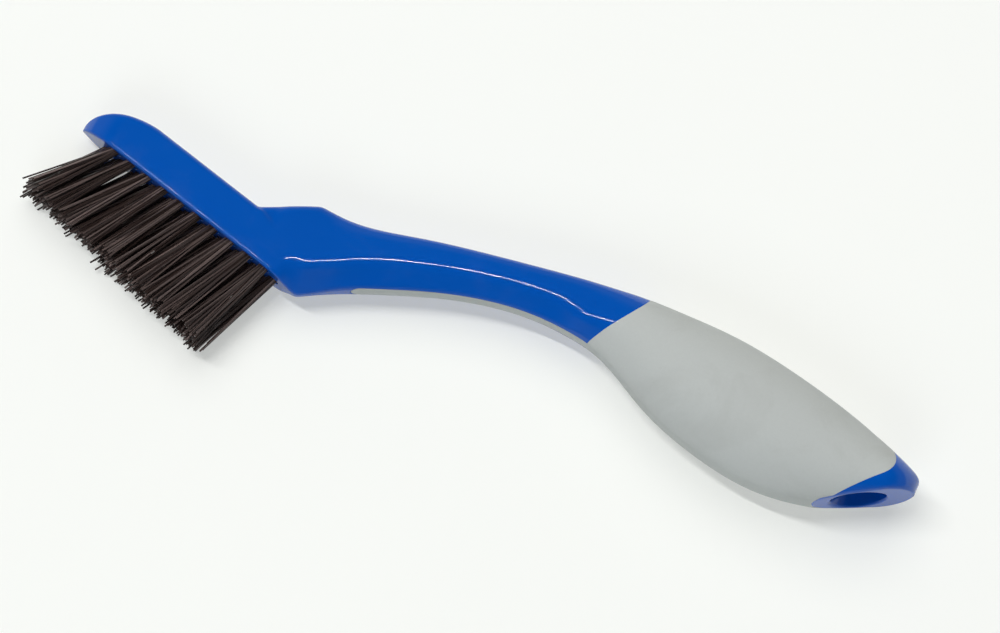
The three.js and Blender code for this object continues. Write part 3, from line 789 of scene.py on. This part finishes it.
def hole_tool(form):
    """Cutter for the hanging hole, which flares at both mouths like a rounded rim."""
    around = circle(HOLE_POINTS)

    def wall(v):
        middle, length, width = hole_oval(form, v)
        return np.stack([middle + length * np.cos(around), v, width * np.sin(around)], 1)

    def flare(depth):
        return HOLE_RIM - math.sqrt(HOLE_RIM**2 - (HOLE_RIM - depth) ** 2)

    out = np.stack([
        np.cos(around) / form.hole_length, 0 * around, np.sin(around) / form.hole_width], 1)
    out /= np.linalg.norm(out, axis=1, keepdims=True)
    entry = np.full(HOLE_POINTS, form.bevel_height(form.hole))
    leave = np.full(HOLE_POINTS, float(form.back(form.hole)))
    for _ in range(MOUTH_ROUNDS):
        entry = form.bevel_height(wall(entry)[:, 0])
        leave = form.back(wall(leave)[:, 0])
    depths = HOLE_RIM * eased(0, RIM_RINGS)
    slope = out * [1, 0, 1] + out[:, :1] * [0, math.tan(form.bevel), 0]
    rings = [wall(entry) + slope * (HOLE_RIM + wider) - [0, away, 0] for wider, away in HOLE_FACE_MOUTH]
    rings += [wall(entry + depth) + slope * flare(depth) for depth in depths]
    for share in np.linspace(0, 1, WALL_RINGS)[1:-1]:
        rings.append(wall(entry + HOLE_RIM + (leave - entry - 2 * HOLE_RIM) * share))
    rings += [wall(leave - depth) + out * flare(depth) for depth in depths[::-1]]
    rings += [wall(leave) + out * (HOLE_RIM + wider) + [0, away, 0] for wider, away in HOLE_BACK_MOUTH]
    return ring_piece("hole_tool", np.array(rings))


def tongue_piece(form, name, grow, outside):
    """Tongue of grip material along the belly of the neck, or the groove that it lies in when grown."""
    start = form.grip_front - form.tongue_length - grow
    half = form.tongue_width / 2 + grow
    stop = form.grip_front + TONGUE_LAP
    rounding = start + half * eased(0.04, TONGUE_RINGS)[:-1]
    places = np.concatenate([rounding, evenly(start + half, stop, TONGUE_STEP), [stop + TONGUE_TAIL]])
    edge = GROOVE_EDGE if outside else TONGUE_EDGE
    turn = np.linspace(0, math.pi / 2, 6)
    rings = []
    for place in places:
        width = half * float(quarter_rise(place - start, half))
        belly = float(form.belly(place))
        low = belly + TONGUE_SINK - outside
        high = belly + TONGUE_DEPTH + grow
        soft = min(edge, width * 0.5)
        lower = np.stack([low + soft * (1 - np.sin(turn)), width - soft * (1 - np.cos(turn))], 1)[::-1]
        side = np.vstack([lower, [[high, width]]])
        ring = np.vstack([side, side[::-1] * [1, -1]])
        rings.append(np.column_stack([np.full(len(ring), place), ring]))
    return ring_piece(name, np.array(rings))


def hole_wall_tool(form):
    """Cutter for the grip round the hole's wall, at the back."""
    around = circle(HOLE_POINTS)
    grow = HOLE_WALL + HOLE_WALL_GAP
    rings = []
    for v in stretch(float(form.back(form.hole)), HOLE_WALL_REACH):
        middle, length, width = hole_oval(form, v)
        rings.append(np.stack([
            middle + (length + grow) * np.cos(around), np.full(HOLE_POINTS, v), (width + grow) * np.sin(around)], 1))
    return ring_piece("hole_wall_tool", np.array(rings))


def face_frame(form):
    """Origin and directions of the brush face: along to the heel, across, and out of the face."""
    cos, sin = math.cos(form.tilt), math.sin(form.tilt)
    return (np.array([0, -FACE_DROP, 0]), np.array([cos, -sin, 0]), np.array([0, 0, 1.0]), np.array([-sin, -cos, 0]))


def tuft_rows(form):
    """Row name, place across and tuft places along the face."""
    run = form.face_length - FIRST_TUFT - LAST_TUFT
    count = int(run // TUFT_PITCH) + 1
    middle = FIRST_TUFT + TUFT_PITCH * np.arange(count)
    outer = middle[:-1] + TUFT_PITCH / 2
    return [
        ("bristle_row_upper", ROW_PITCH, outer),
        ("bristle_row_middle", 0.0, middle),
        ("bristle_row_lower", -ROW_PITCH, outer),
    ]


def tuft_hole_tool(form):
    """Cutter for the tuft holes in the brush face, each with a softly rounded mouth."""
    origin, along, across, out = face_frame(form)
    turn = circle(TUFT_HOLE_POINTS)
    levels = [*TUFT_HOLE_MOUTH, (-TUFT_HOLE_DEPTH, 0.0)]
    hole_faces = ring_faces(len(levels), TUFT_HOLE_POINTS, False)
    rings, faces = [], []
    for _, row_across, places in tuft_rows(form):
        for place in places:
            base = len(rings) * TUFT_HOLE_POINTS
            faces += [tuple(base + i for i in face) for face in hole_faces]
            for height, flare in levels:
                radius = TUFT_HOLE_RADIUS + flare
                beside = np.outer(row_across + radius * np.sin(turn), across)
                rings.append(origin + out * height + np.outer(place + radius * np.cos(turn), along) + beside)
    return new_piece("tuft_hole_tool", np.array(rings).reshape(-1, 3), faces)


def grip_rings(form):
    """Rings of the grip's sleeve: over the outside from front to rear, and back along the inside."""
    front, rear = grip_edges(form)
    table_u = evenly(form.grip_front - 3, form.end - 0.2, GRIP_TABLE_STEP)
    table = form.skin(table_u, HALF_RING)
    columns = np.arange(HALF_RING)

    def on_skin(share, ahead):
        """Half ring at a share of the way between the grip's edges, found by steps along the skin."""
        u = np.full(HALF_RING, form.grip_front + share * (form.grip_rear - 12 - form.grip_front))
        for _ in range(SETTLE_ROUNDS):
            at = np.clip((u - table_u[0]) / (table_u[1] - table_u[0]), 0, len(table_u) - 1.001)
            low = at.astype(int)
            point = between(table[low, columns], table[low + 1, columns], (at - low)[:, None])
            start, stop = front(point[:, 1]) + ahead, rear(point[:, 1], point[:, 2]) - ahead
            u += SETTLE_SHARE * (start + share * (stop - start) - u)
        return np.column_stack([u, point[:, 1:]])

    lip_ahead, lip_rise = (list(column) for column in zip(*GRIP_LIP))
    ahead = lip_ahead + lip_ahead[-1:] * GRIP_ROWS + lip_ahead[::-1]
    rise = lip_rise + lip_rise[-1:] * GRIP_ROWS + lip_rise[::-1]
    share = [0.0] * len(GRIP_LIP) + list(np.linspace(0, 1, GRIP_ROWS + 2)[1:-1]) + [1.0] * len(GRIP_LIP)
    rings = both_sides(np.array([on_skin(s, a) for s, a in zip(share, ahead)]))
    spaced = both_sides(np.array([on_skin(s, 0.0) for s in np.linspace(0, 1, NORMAL_ROWS)]))
    spread = ring_normals(spaced)
    near = np.clip(np.array(share) * (NORMAL_ROWS - 1), 0, NORMAL_ROWS - 1.001)
    low = near.astype(int)
    normal = between(spread[low], spread[low + 1], (near - low)[:, None, None])
    outside = rings + normal * np.array(rise)[:, None, None]
    inside = rings[::-INSIDE_STRIDE] - normal[::-INSIDE_STRIDE] * GRIP_SKIN
    return np.concatenate([outside, inside])


# Materials


def new_material(name):
    """Empty node material with an output and a Principled BSDF."""
    material = bpy.data.materials.new(name)
    material.use_nodes = True
    tree = material.node_tree
    return material, tree, tree.nodes["Principled BSDF"]


def feed(tree, node, inputs):
    """Sets a node's inputs, or links them where the value is a socket."""
    for key, value in inputs.items():
        if isinstance(value, bpy.types.NodeSocket):
            tree.links.new(value, node.inputs[key])
        else:
            node.inputs[key].default_value = value


def add_node(tree, kind, inputs=None, **settings):
    """Node with its settings and inputs."""
    node = tree.nodes.new(kind)
    for key, value in settings.items():
        setattr(node, key, value)
    feed(tree, node, inputs or {})
    return node


def surface_marks_group():
    """Shared effect: a fine grain, slow waves, and handling marks that come and go over the surface."""
    if "surface_marks" in bpy.data.node_groups:
        return bpy.data.node_groups["surface_marks"]
    tree = bpy.data.node_groups.new("surface_marks", "ShaderNodeTree")
    tree.interface.new_socket("Vector", in_out="INPUT", socket_type="NodeSocketVector")
    for name, default in (
        ("Grain Scale", 2000.0), ("Mark Scale", 60.0), ("Mark Reach", 0.55), ("Mark Softness", 0.2),
    ):
        tree.interface.new_socket(name, in_out="INPUT", socket_type="NodeSocketFloat").default_value = default
    for name in ("Marks", "Grain", "Waves"):
        tree.interface.new_socket(name, in_out="OUTPUT", socket_type="NodeSocketFloat")
    given = add_node(tree, "NodeGroupInput").outputs

    def noise(**inputs):
        return add_node(tree, "ShaderNodeTexNoise", {"Vector": given["Vector"], **inputs}).outputs["Fac"]

    marks = noise(Scale=given["Mark Scale"], Detail=6.0, Roughness=0.62, Distortion=0.5)
    top = add_node(tree, "ShaderNodeMath", {0: given["Mark Reach"], 1: given["Mark Softness"]}, operation="ADD")
    ramp = add_node(
        tree, "ShaderNodeMapRange", {"Value": marks, "From Min": given["Mark Reach"], "From Max": top.outputs[0]})
    add_node(tree, "NodeGroupOutput", {
        "Marks": ramp.outputs["Result"],
        "Grain": noise(Scale=given["Grain Scale"], Detail=3.0),
        "Waves": noise(Scale=55.0, Detail=1.0),
    })
    return tree


def marks_node(tree, **values):
    """Outputs of the shared effect, placed in a material on the piece's own coordinates."""
    place = add_node(tree, "ShaderNodeTexCoord").outputs["Object"]
    scales = {name.replace("_", " ").title(): value for name, value in values.items()}
    return add_node(
        tree, "ShaderNodeGroup", {"Vector": place, **scales}, node_tree=surface_marks_group()).outputs


def shade(colour, share):
    return tuple(c * share for c in colour)


def tint(tree, mask, first, second, amount):
    """Colour that goes from the first, which may be a socket, towards the second with a share of a mask."""
    scaled = add_node(tree, "ShaderNodeMath", {0: mask, 1: amount}, operation="MULTIPLY").outputs[0]
    if not isinstance(first, bpy.types.NodeSocket):
        first = (*first, 1)
    return add_node(tree, "ShaderNodeMix", {0: scaled, 6: first, 7: (*second, 1)}, data_type="RGBA").outputs[2]


def value_range(tree, value, low, high):
    """A mask's 0 to 1 as a range of values."""
    return add_node(tree, "ShaderNodeMapRange", {"Value": value, "To Min": low, "To Max": high}).outputs["Result"]


def bump(tree, height, strength, distance, **below):
    """Normal of a surface with small heights, over another normal where one is given."""
    inputs = {"Height": height, "Strength": strength, "Distance": distance, **below}
    return add_node(tree, "ShaderNodeBump", inputs).outputs["Normal"]


def glossy_plastic(finish):
    """Moulded plastic: glossy, with faint sink waves and dull handling marks."""
    material, tree, shader = new_material("glossy_blue_plastic")
    colour = tuple(finish.handle_colour)
    paler = tuple(c + (1 - c) * 0.03 for c in colour)
    marks = marks_node(tree, grain_scale=2600.0, mark_scale=90.0, mark_reach=0.52, mark_softness=0.28)
    waves = bump(tree, marks["Waves"], 0.12, 0.0012)
    feed(tree, shader, {
        "Base Color": tint(tree, marks["Marks"], colour, paler, 0.25),
        "Roughness": value_range(tree, marks["Marks"], 0.06, 0.1),
        "Normal": bump(tree, marks["Grain"], 0.04, 0.0001, Normal=waves),
        "IOR": 1.5,
        "Specular IOR Level": 0.35,
    })
    return material


def soft_rubber(finish):
    """Soft-touch grip: matt and finely grained, with grey smudges from use."""
    material, tree, shader = new_material("soft_grey_rubber")
    colour = tuple(finish.grip_colour)
    dirt = tuple(c * share for c, share in zip(colour, (0.70, 0.68, 0.66)))
    marks = marks_node(tree, grain_scale=1500.0, mark_scale=70.0, mark_reach=0.5, mark_softness=0.3)
    smudged = tint(tree, marks["Marks"], colour, dirt, 0.4)
    feed(tree, shader, {
        "Base Color": tint(tree, marks["Grain"], smudged, shade(colour, 0.86), 0.4),
        "Roughness": value_range(tree, marks["Marks"], 0.74, 0.6),
        "Normal": bump(tree, marks["Grain"], 0.22, 0.00012),
        "Specular IOR Level": 0.35,
    })
    return material


def dark_filament(finish):
    """Stiff dark filament: each one darker or paler at random, with fine streaks; the palest of them carry a painted
    sheen that stands in for highlights.
    """
    material, tree, shader = new_material("dark_filament")
    colour = tuple(finish.filament_colour)
    # Pale colour of the rarest filaments: partly their own tone, partly a painted sheen in place of highlights.
    pale_tone_and_sheen = tuple(c * 2.4 + 0.07 for c in colour)
    marks = marks_node(tree, grain_scale=1500.0, mark_scale=400.0, mark_reach=0.5, mark_softness=0.3)
    tone = add_node(tree, "ShaderNodeAttribute", attribute_name="filament_tone_and_sheen").outputs["Fac"]
    rare_tone_and_sheen = add_node(tree, "ShaderNodeMath", {0: tone, 1: 3.0}, operation="POWER").outputs[0]
    base = tint(tree, rare_tone_and_sheen, shade(colour, 0.45), pale_tone_and_sheen, 1.0)
    feed(tree, shader, {
        "Base Color": tint(tree, marks["Grain"], base, shade(colour, 0.5), 0.35),
        "Roughness": value_range(tree, marks["Marks"], 0.2, 0.32),
        "Normal": bump(tree, marks["Grain"], 0.1, 0.0001),
        "Specular IOR Level": 0.8,
    })
    return material


def drawn_steel(finish):
    """Flat drawn wire of the anchors, with marks from the press."""
    material, tree, shader = new_material("drawn_steel")
    colour = tuple(finish.anchor_colour)
    marks = marks_node(tree, grain_scale=3000.0, mark_scale=900.0, mark_reach=0.45, mark_softness=0.3)
    feed(tree, shader, {
        "Base Color": tint(tree, marks["Marks"], colour, shade(colour, 0.7), 0.6),
        "Roughness": value_range(tree, marks["Grain"], 0.25, 0.5),
        "Metallic": 1.0,
    })
    return material


# Filament tufts


FILAMENT_INPUTS = (
    ("Amount", "NodeSocketInt"), ("Radius", "NodeSocketFloat"), ("Tuft Radius", "NodeSocketFloat"),
    ("Tip Spread", "NodeSocketFloat"), ("Stray", "NodeSocketFloat"), ("Bend", "NodeSocketFloat"),
    ("Unevenness", "NodeSocketFloat"), ("Along", "NodeSocketVector"), ("Across", "NodeSocketVector"),
    ("Floor Gap", "NodeSocketFloat"), ("Seed", "NodeSocketInt"), ("Material", "NodeSocketMaterial"),
)


def filament_tree():
    """Geometry Nodes tree that grows a tuft of filaments on each point."""
    tree = bpy.data.node_groups.new("filament_tufts", "GeometryNodeTree")
    tree.interface.new_socket("Tufts", in_out="INPUT", socket_type="NodeSocketGeometry")
    for name, kind in FILAMENT_INPUTS:
        tree.interface.new_socket(name, in_out="INPUT", socket_type=kind)
    tree.interface.new_socket("Filaments", in_out="OUTPUT", socket_type="NodeSocketGeometry")
    given = add_node(tree, "NodeGroupInput").outputs

    def math_node(operation, first, second=0.0):
        return add_node(tree, "ShaderNodeMath", {0: first, 1: second}, operation=operation).outputs[0]

    def vector_node(operation, first, second):
        other = "Scale" if operation == "SCALE" else 1
        return add_node(tree, "ShaderNodeVectorMath", {0: first, other: second}, operation=operation).outputs[0]

    def named(name, kind):
        return add_node(tree, "GeometryNodeInputNamedAttribute", {"Name": name}, data_type=kind).outputs["Attribute"]

    def random_vector(shift, size):
        inputs = {"Seed": math_node("ADD", given["Seed"], shift), "Min": (-1, -1, -1), "Max": (1, 1, 1)}
        node = add_node(tree, "FunctionNodeRandomValue", inputs, data_type="FLOAT_VECTOR")
        return vector_node("SCALE", node.outputs["Value"], size)

    def random_share(shift):
        seed = math_node("ADD", given["Seed"], shift)
        return add_node(tree, "FunctionNodeRandomValue", {"Seed": seed}, data_type="FLOAT").outputs[1]

    def store(geometry, name, value, kind):
        return add_node(
            tree, "GeometryNodeStoreNamedAttribute", {"Geometry": geometry, "Name": name, "Value": value},
            data_type=kind, domain="POINT").outputs[0]

    copies = add_node(
        tree, "GeometryNodeDuplicateElements", {"Geometry": given["Tufts"], "Amount": given["Amount"]}, domain="POINT")
    index = copies.outputs["Duplicate Index"]
    reach = math_node("SQRT", math_node("DIVIDE", math_node("ADD", index, 0.5), given["Amount"]))
    angle = math_node("ADD", math_node("MULTIPLY", index, GOLDEN_TURN), named("tuft_turn", "FLOAT"))
    out = vector_node(
        "ADD",
        vector_node("SCALE", given["Along"], math_node("MULTIPLY", reach, math_node("COSINE", angle))),
        vector_node("SCALE", given["Across"], math_node("MULTIPLY", reach, math_node("SINE", angle))),
    )
    loose = math_node("MULTIPLY", given["Stray"], named("tuft_looseness", "FLOAT"))
    lean = vector_node("ADD", vector_node("SCALE", out, given["Tip Spread"]), random_vector(1, loose))
    direction = vector_node("ADD", named("tuft_axis", "FLOAT_VECTOR"), lean)
    cut = math_node("MULTIPLY", random_share(2), given["Unevenness"])
    height = math_node("SUBTRACT", named("tuft_height", "FLOAT"), cut)
    # Random value per filament: its own tone, and whether it gets the painted sheen of the palest ones.
    points = store(copies.outputs["Geometry"], "filament_tone_and_sheen", random_share(3), "FLOAT")
    points = store(points, "filament_bow", random_vector(4, given["Bend"]), "FLOAT_VECTOR")
    points = store(points, "filament_axis", direction, "FLOAT_VECTOR")
    points = store(points, "filament_height", height, "FLOAT")
    placed = add_node(
        tree, "GeometryNodeSetPosition",
        {"Geometry": points, "Offset": vector_node("SCALE", out, given["Tuft Radius"])}).outputs[0]
    axis = named("filament_axis", "FLOAT_VECTOR")
    length = math_node(
        "MULTIPLY",
        add_node(tree, "ShaderNodeVectorMath", {0: axis}, operation="LENGTH").outputs["Value"],
        named("filament_height", "FLOAT"))
    bar = add_node(tree, "GeometryNodeMeshCylinder", {
        "Vertices": 6, "Side Segments": 6, "Fill Segments": 1, "Radius": given["Radius"], "Depth": 1.0,
    }).outputs["Mesh"]
    bar = add_node(tree, "GeometryNodeTransform", {"Geometry": bar, "Translation": (0, 0, 0.5)}).outputs[0]
    position = add_node(tree, "GeometryNodeInputPosition").outputs[0]
    up = add_node(tree, "ShaderNodeSeparateXYZ", {0: position}).outputs["Z"]
    bar = store(bar, "filament_share", up, "FLOAT")
    turned = add_node(tree, "FunctionNodeAlignRotationToVector", {"Vector": axis}, axis="Z").outputs[0]
    stretch = add_node(tree, "ShaderNodeCombineXYZ", {"X": 1.0, "Y": 1.0, "Z": length}).outputs[0]
    grown = add_node(
        tree, "GeometryNodeInstanceOnPoints",
        {"Points": placed, "Instance": bar, "Rotation": turned, "Scale": stretch}).outputs[0]
    solid = add_node(tree, "GeometryNodeRealizeInstances", {"Geometry": grown}).outputs[0]
    bow = vector_node(
        "SCALE", named("filament_bow", "FLOAT_VECTOR"), math_node("POWER", named("filament_share", "FLOAT"), 2.0))
    bowed = add_node(tree, "GeometryNodeSetPosition", {"Geometry": solid, "Offset": bow}).outputs[0]
    place = add_node(tree, "ShaderNodeSeparateXYZ", {0: add_node(tree, "GeometryNodeInputPosition").outputs[0]})
    raised = math_node("MAXIMUM", place.outputs["Z"], given["Floor Gap"])
    above = add_node(
        tree, "ShaderNodeCombineXYZ", {"X": place.outputs["X"], "Y": place.outputs["Y"], "Z": raised}).outputs[0]
    kept = add_node(tree, "GeometryNodeSetPosition", {"Geometry": bowed, "Position": above}).outputs[0]
    dressed = add_node(tree, "GeometryNodeSetMaterial", {"Geometry": kept, "Material": given["Material"]}).outputs[0]
    add_node(tree, "NodeGroupOutput", {0: dressed})
    return tree


def tuft_points(form, tufts, name, row_across, places, seed):
    """Mesh with one point per tuft, which carries the tuft's direction, height and turn."""
    random = np.random.default_rng(seed)
    origin, along, across, out = face_frame(form)
    count = len(places)
    share = (places - FIRST_TUFT) / (form.face_length - FIRST_TUFT - LAST_TUFT)
    lean = np.tan(between(tufts.lean_nose, tufts.lean_heel, share) + random.normal(0, LEAN_SPREAD, count))
    sway = random.normal(0, SWAY_SPREAD, count)
    axis = out - np.outer(lean, along) + np.outer(sway, across)
    height = between(tufts.height_nose, tufts.height_heel, share) + random.normal(0, HEIGHT_SPREAD, count)
    turn = random.uniform(0, FULL_TURN, count)
    looser = NOSE_LOOSENESS * np.exp(-(places - FIRST_TUFT) / NOSE_LOOSENESS_REACH)
    looseness = random.uniform(*LOOSENESS, count) + looser
    root = origin - out * TUFT_ROOT + np.outer(places, along) + row_across * across
    mesh = bpy.data.meshes.new(name)
    mesh.from_pydata(on_floor(root).tolist(), [], [])
    directions = mesh.attributes.new("tuft_axis", "FLOAT_VECTOR", "POINT")
    directions.data.foreach_set("vector", floor_directions(axis).ravel())
    for key, values in (
        ("tuft_height", height + TUFT_ROOT * MM), ("tuft_turn", turn), ("tuft_looseness", looseness),
    ):
        mesh.attributes.new(key, "FLOAT", "POINT").data.foreach_set("value", values)
    return bpy.data.objects.new(name, mesh)


def grow_filaments(points, tree, values):
    """Plain mesh object of the filaments that the tree grows on the points."""
    bpy.context.scene.collection.objects.link(points)
    grower = points.modifiers.new("filaments", "NODES")
    grower.node_group = tree
    for item in tree.interface.items_tree:
        if item.item_type == "SOCKET" and item.in_out == "INPUT" and item.name in values:
            grower[item.identifier] = values[item.name]
    evaluated = points.evaluated_get(bpy.context.evaluated_depsgraph_get())
    mesh = bpy.data.meshes.new_from_object(evaluated)
    points.modifiers.clear()
    if len(mesh.polygons) == 0:
        raise RuntimeError(f"{points.name} grew no filaments")
    old = points.data
    points.data = mesh
    bpy.data.meshes.remove(old)
    return points


# Operators


class BRUSH_OT_handle(bpy.types.Operator):
    """Builds the glossy handle with its head, tuft holes, groove and hanging hole"""

    bl_idname = "brush.handle"
    bl_label = "Handle"

    def execute(self, context):
        form = HandleForm(context.scene.brush_sizes)
        handle = ring_piece("handle_moulding", handle_rings(form))
        groove = tongue_piece(form, "tongue_groove", GROOVE_GAP, GROOVE_OUTSIDE)
        for tool in (groove, tuft_hole_tool(form), hole_tool(form)):
            carve(handle, tool, "DIFFERENCE")
        finish_piece(handle, glossy_plastic(context.scene.brush_finish), ["handle_body"])
        return {"FINISHED"}


class BRUSH_OT_grip(bpy.types.Operator):
    """Builds the soft grip with its tongue along the belly of the neck"""

    bl_idname = "brush.grip"
    bl_label = "Grip"

    def execute(self, context):
        form = HandleForm(context.scene.brush_sizes)
        grip = ring_piece("grip_sleeve", grip_rings(form), True)
        carve(grip, tongue_piece(form, "tongue", 0.0, 0.0), "UNION")
        carve(grip, hole_wall_tool(form), "DIFFERENCE")
        finish_piece(grip, soft_rubber(context.scene.brush_finish), ["soft_grip"])
        return {"FINISHED"}


class BRUSH_OT_tufts(bpy.types.Operator):
    """Grows the filament tufts of the three rows"""

    bl_idname = "brush.tufts"
    bl_label = "Filament Tufts"

    def execute(self, context):
        form = HandleForm(context.scene.brush_sizes)
        tufts = context.scene.brush_tufts
        material = dark_filament(context.scene.brush_finish)
        _, along, across, _ = face_frame(form)
        values = {
            "Amount": tufts.filaments, "Radius": tufts.thickness / 2, "Tuft Radius": tufts.tuft_radius,
            "Tip Spread": tufts.tip_spread, "Stray": tufts.stray, "Bend": tufts.bend,
            "Unevenness": tufts.unevenness, "Floor Gap": FLOOR_GAP * MM, "Material": material,
            "Along": Vector(floor_directions(along)[0]), "Across": Vector(floor_directions(across)[0]),
        }
        tree = filament_tree()
        for number, (node, row_across, places) in enumerate(tuft_rows(form)):
            seed = tufts.seed + ROW_SEED_STEP * number
            points = tuft_points(form, tufts, node.replace("bristle", "filament"), row_across, places, seed)
            row = grow_filaments(points, tree, {**values, "Seed": seed})
            finish_piece(row, material, [node], FILAMENT_CREASE)
        return {"FINISHED"}


class BRUSH_OT_anchors(bpy.types.Operator):
    """Dresses the steel anchors that hold the folded tufts"""

    bl_idname = "brush.anchors"
    bl_label = "Tuft Anchors"

    def execute(self, context):
        steel = drawn_steel(context.scene.brush_finish)
        for name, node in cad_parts.items():
            if name.startswith("tuft_anchor"):
                node.data.materials.clear()
                node.data.materials.append(steel)
        return {"FINISHED"}


class BRUSH_OT_stage(bpy.types.Operator):
    """Sets up the floor, the studio light and the camera"""

    bl_idname = "brush.stage"
    bl_label = "Stage"

    def execute(self, context):
        scene = context.scene
        scene.view_settings.view_transform = "Standard"
        self.make_floor(scene)
        self.make_light(scene)
        self.make_camera(scene)
        return {"FINISHED"}

    def make_floor(self, scene):
        """Wide pale disc that keeps the shadow, and that looks pale in the picture and in reflections."""
        mesh = bpy.data.meshes.new("floor")
        turn = circle(FLOOR_POINTS)
        rim = np.stack([FLOOR_RADIUS * np.cos(turn), FLOOR_RADIUS * np.sin(turn), 0 * turn], 1)
        mesh.from_pydata(rim.tolist(), [], [tuple(range(FLOOR_POINTS))])
        floor = bpy.data.objects.new("floor", mesh)
        scene.collection.objects.link(floor)
        material, tree, shader = new_material("pale_floor")
        colour = tuple(scene.brush_finish.floor_colour)
        marks = marks_node(tree, grain_scale=900.0, mark_scale=7.0, mark_reach=0.45, mark_softness=0.4)
        feed(tree, shader, {
            "Base Color": tint(tree, marks["Marks"], colour, shade(colour, 0.985), 1.0),
            "Roughness": 0.8,
            "Specular IOR Level": 0.1,
        })
        path = add_node(tree, "ShaderNodeLightPath").outputs
        seen = path["Is Camera Ray"]
        for ray in ("Is Glossy Ray", "Is Transmission Ray"):
            seen = add_node(tree, "ShaderNodeMath", {0: seen, 1: path[ray]}, operation="MAXIMUM").outputs[0]
        pale = add_node(tree, "ShaderNodeEmission", {"Color": (*colour, 1), "Strength": 1.0}).outputs[0]
        share = value_range(tree, seen, 0.0, FLOOR_GLOW)
        mixed = add_node(tree, "ShaderNodeMixShader", {0: share, 1: shader.outputs[0], 2: pale}).outputs[0]
        feed(tree, tree.nodes["Material Output"], {"Surface": mixed})
        mesh.materials.append(material)

    def make_light(self, scene):
        """Pale light from low all round, large soft lamps over the back and the front, and a strip for the glints."""
        world = bpy.data.worlds.new("studio")
        scene.world = world
        world.use_nodes = True
        tree = world.node_tree
        toward = add_node(tree, "ShaderNodeTexCoord").outputs["Generated"]
        up = add_node(tree, "ShaderNodeSeparateXYZ", {0: toward}).outputs["Z"]
        level = add_node(
            tree, "ShaderNodeMapRange", {"Value": up, "From Min": 0.3, "From Max": 0.7, "To Min": 0.32, "To Max": 0.02},
            interpolation_type="SMOOTHSTEP").outputs["Result"]
        feed(tree, tree.nodes["Background"], {"Color": (0.97, 0.985, 1.0, 1), "Strength": level})
        for name, place, size, power, colour, mirrored in LAMPS:
            light = bpy.data.lights.new(name, "AREA")
            light.shape = "RECTANGLE"
            light.size, light.size_y = size
            light.energy = power
            light.color = colour
            lamp = bpy.data.objects.new(name, light)
            lamp.location = place
            lamp.rotation_euler = (-Vector(place)).to_track_quat("-Z", "Y").to_euler()
            lamp.visible_camera = False
            lamp.visible_glossy = mirrored
            scene.collection.objects.link(lamp)

    def make_camera(self, scene):
        """Camera that looks down on the brush from its front side."""
        azimuth, elevation, roll = map(math.radians, (CAMERA_AZIMUTH, CAMERA_ELEVATION, CAMERA_ROLL))
        back = Vector((
            math.sin(azimuth) * math.cos(elevation), -math.cos(azimuth) * math.cos(elevation), math.sin(elevation)))
        right = (-back).cross(Vector((0, 0, 1))).normalized()
        up = right.cross(-back)
        turned = right * math.cos(roll) + up * math.sin(roll)
        raised = up * math.cos(roll) - right * math.sin(roll)
        data = bpy.data.cameras.new("camera")
        data.sensor_width = 36.0
        data.sensor_fit = "HORIZONTAL"
        data.lens = CAMERA_LENS
        data.clip_start, data.clip_end = 0.01, 50.0
        camera = bpy.data.objects.new("camera", data)
        pose = Matrix((turned, raised, back)).transposed().to_4x4()
        pose.translation = Vector(CAMERA_TARGET) * MM + back * CAMERA_DISTANCE
        camera.matrix_world = pose
        scene.collection.objects.link(camera)
        scene.camera = camera


class BRUSH_PT_sidebar(bpy.types.Panel):
    """Sizes, finishes and build steps of the brush"""

    bl_label = "Detailing Brush"
    bl_idname = "BRUSH_PT_sidebar"
    bl_space_type = "VIEW_3D"
    bl_region_type = "UI"
    bl_category = "Brush"

    def draw(self, context):
        layout = self.layout
        for group in (context.scene.brush_sizes, context.scene.brush_tufts, context.scene.brush_finish):
            column = layout.box().column()
            for name in group.__annotations__:
                column.prop(group, name)
        for step in STEPS:
            layout.operator(step.bl_idname)


STEPS = (BRUSH_OT_handle, BRUSH_OT_grip, BRUSH_OT_tufts, BRUSH_OT_anchors, BRUSH_OT_stage)
CLASSES = (BrushSizes, TuftSettings, BrushFinish, *STEPS, BRUSH_PT_sidebar)


def register():
    for cls in CLASSES:
        bpy.utils.register_class(cls)
    bpy.types.Scene.brush_sizes = bpy.props.PointerProperty(type=BrushSizes)
    bpy.types.Scene.brush_tufts = bpy.props.PointerProperty(type=TuftSettings)
    bpy.types.Scene.brush_finish = bpy.props.PointerProperty(type=BrushFinish)


def unregister():
    del bpy.types.Scene.brush_finish
    del bpy.types.Scene.brush_tufts
    del bpy.types.Scene.brush_sizes
    for cls in reversed(CLASSES):
        bpy.utils.unregister_class(cls)


def main():
    register()
    bpy.ops.brush.handle()
    bpy.ops.brush.grip()
    bpy.ops.brush.tufts()
    bpy.ops.brush.anchors()
    bpy.ops.brush.stage()


if __name__ == "__main__":
    main()
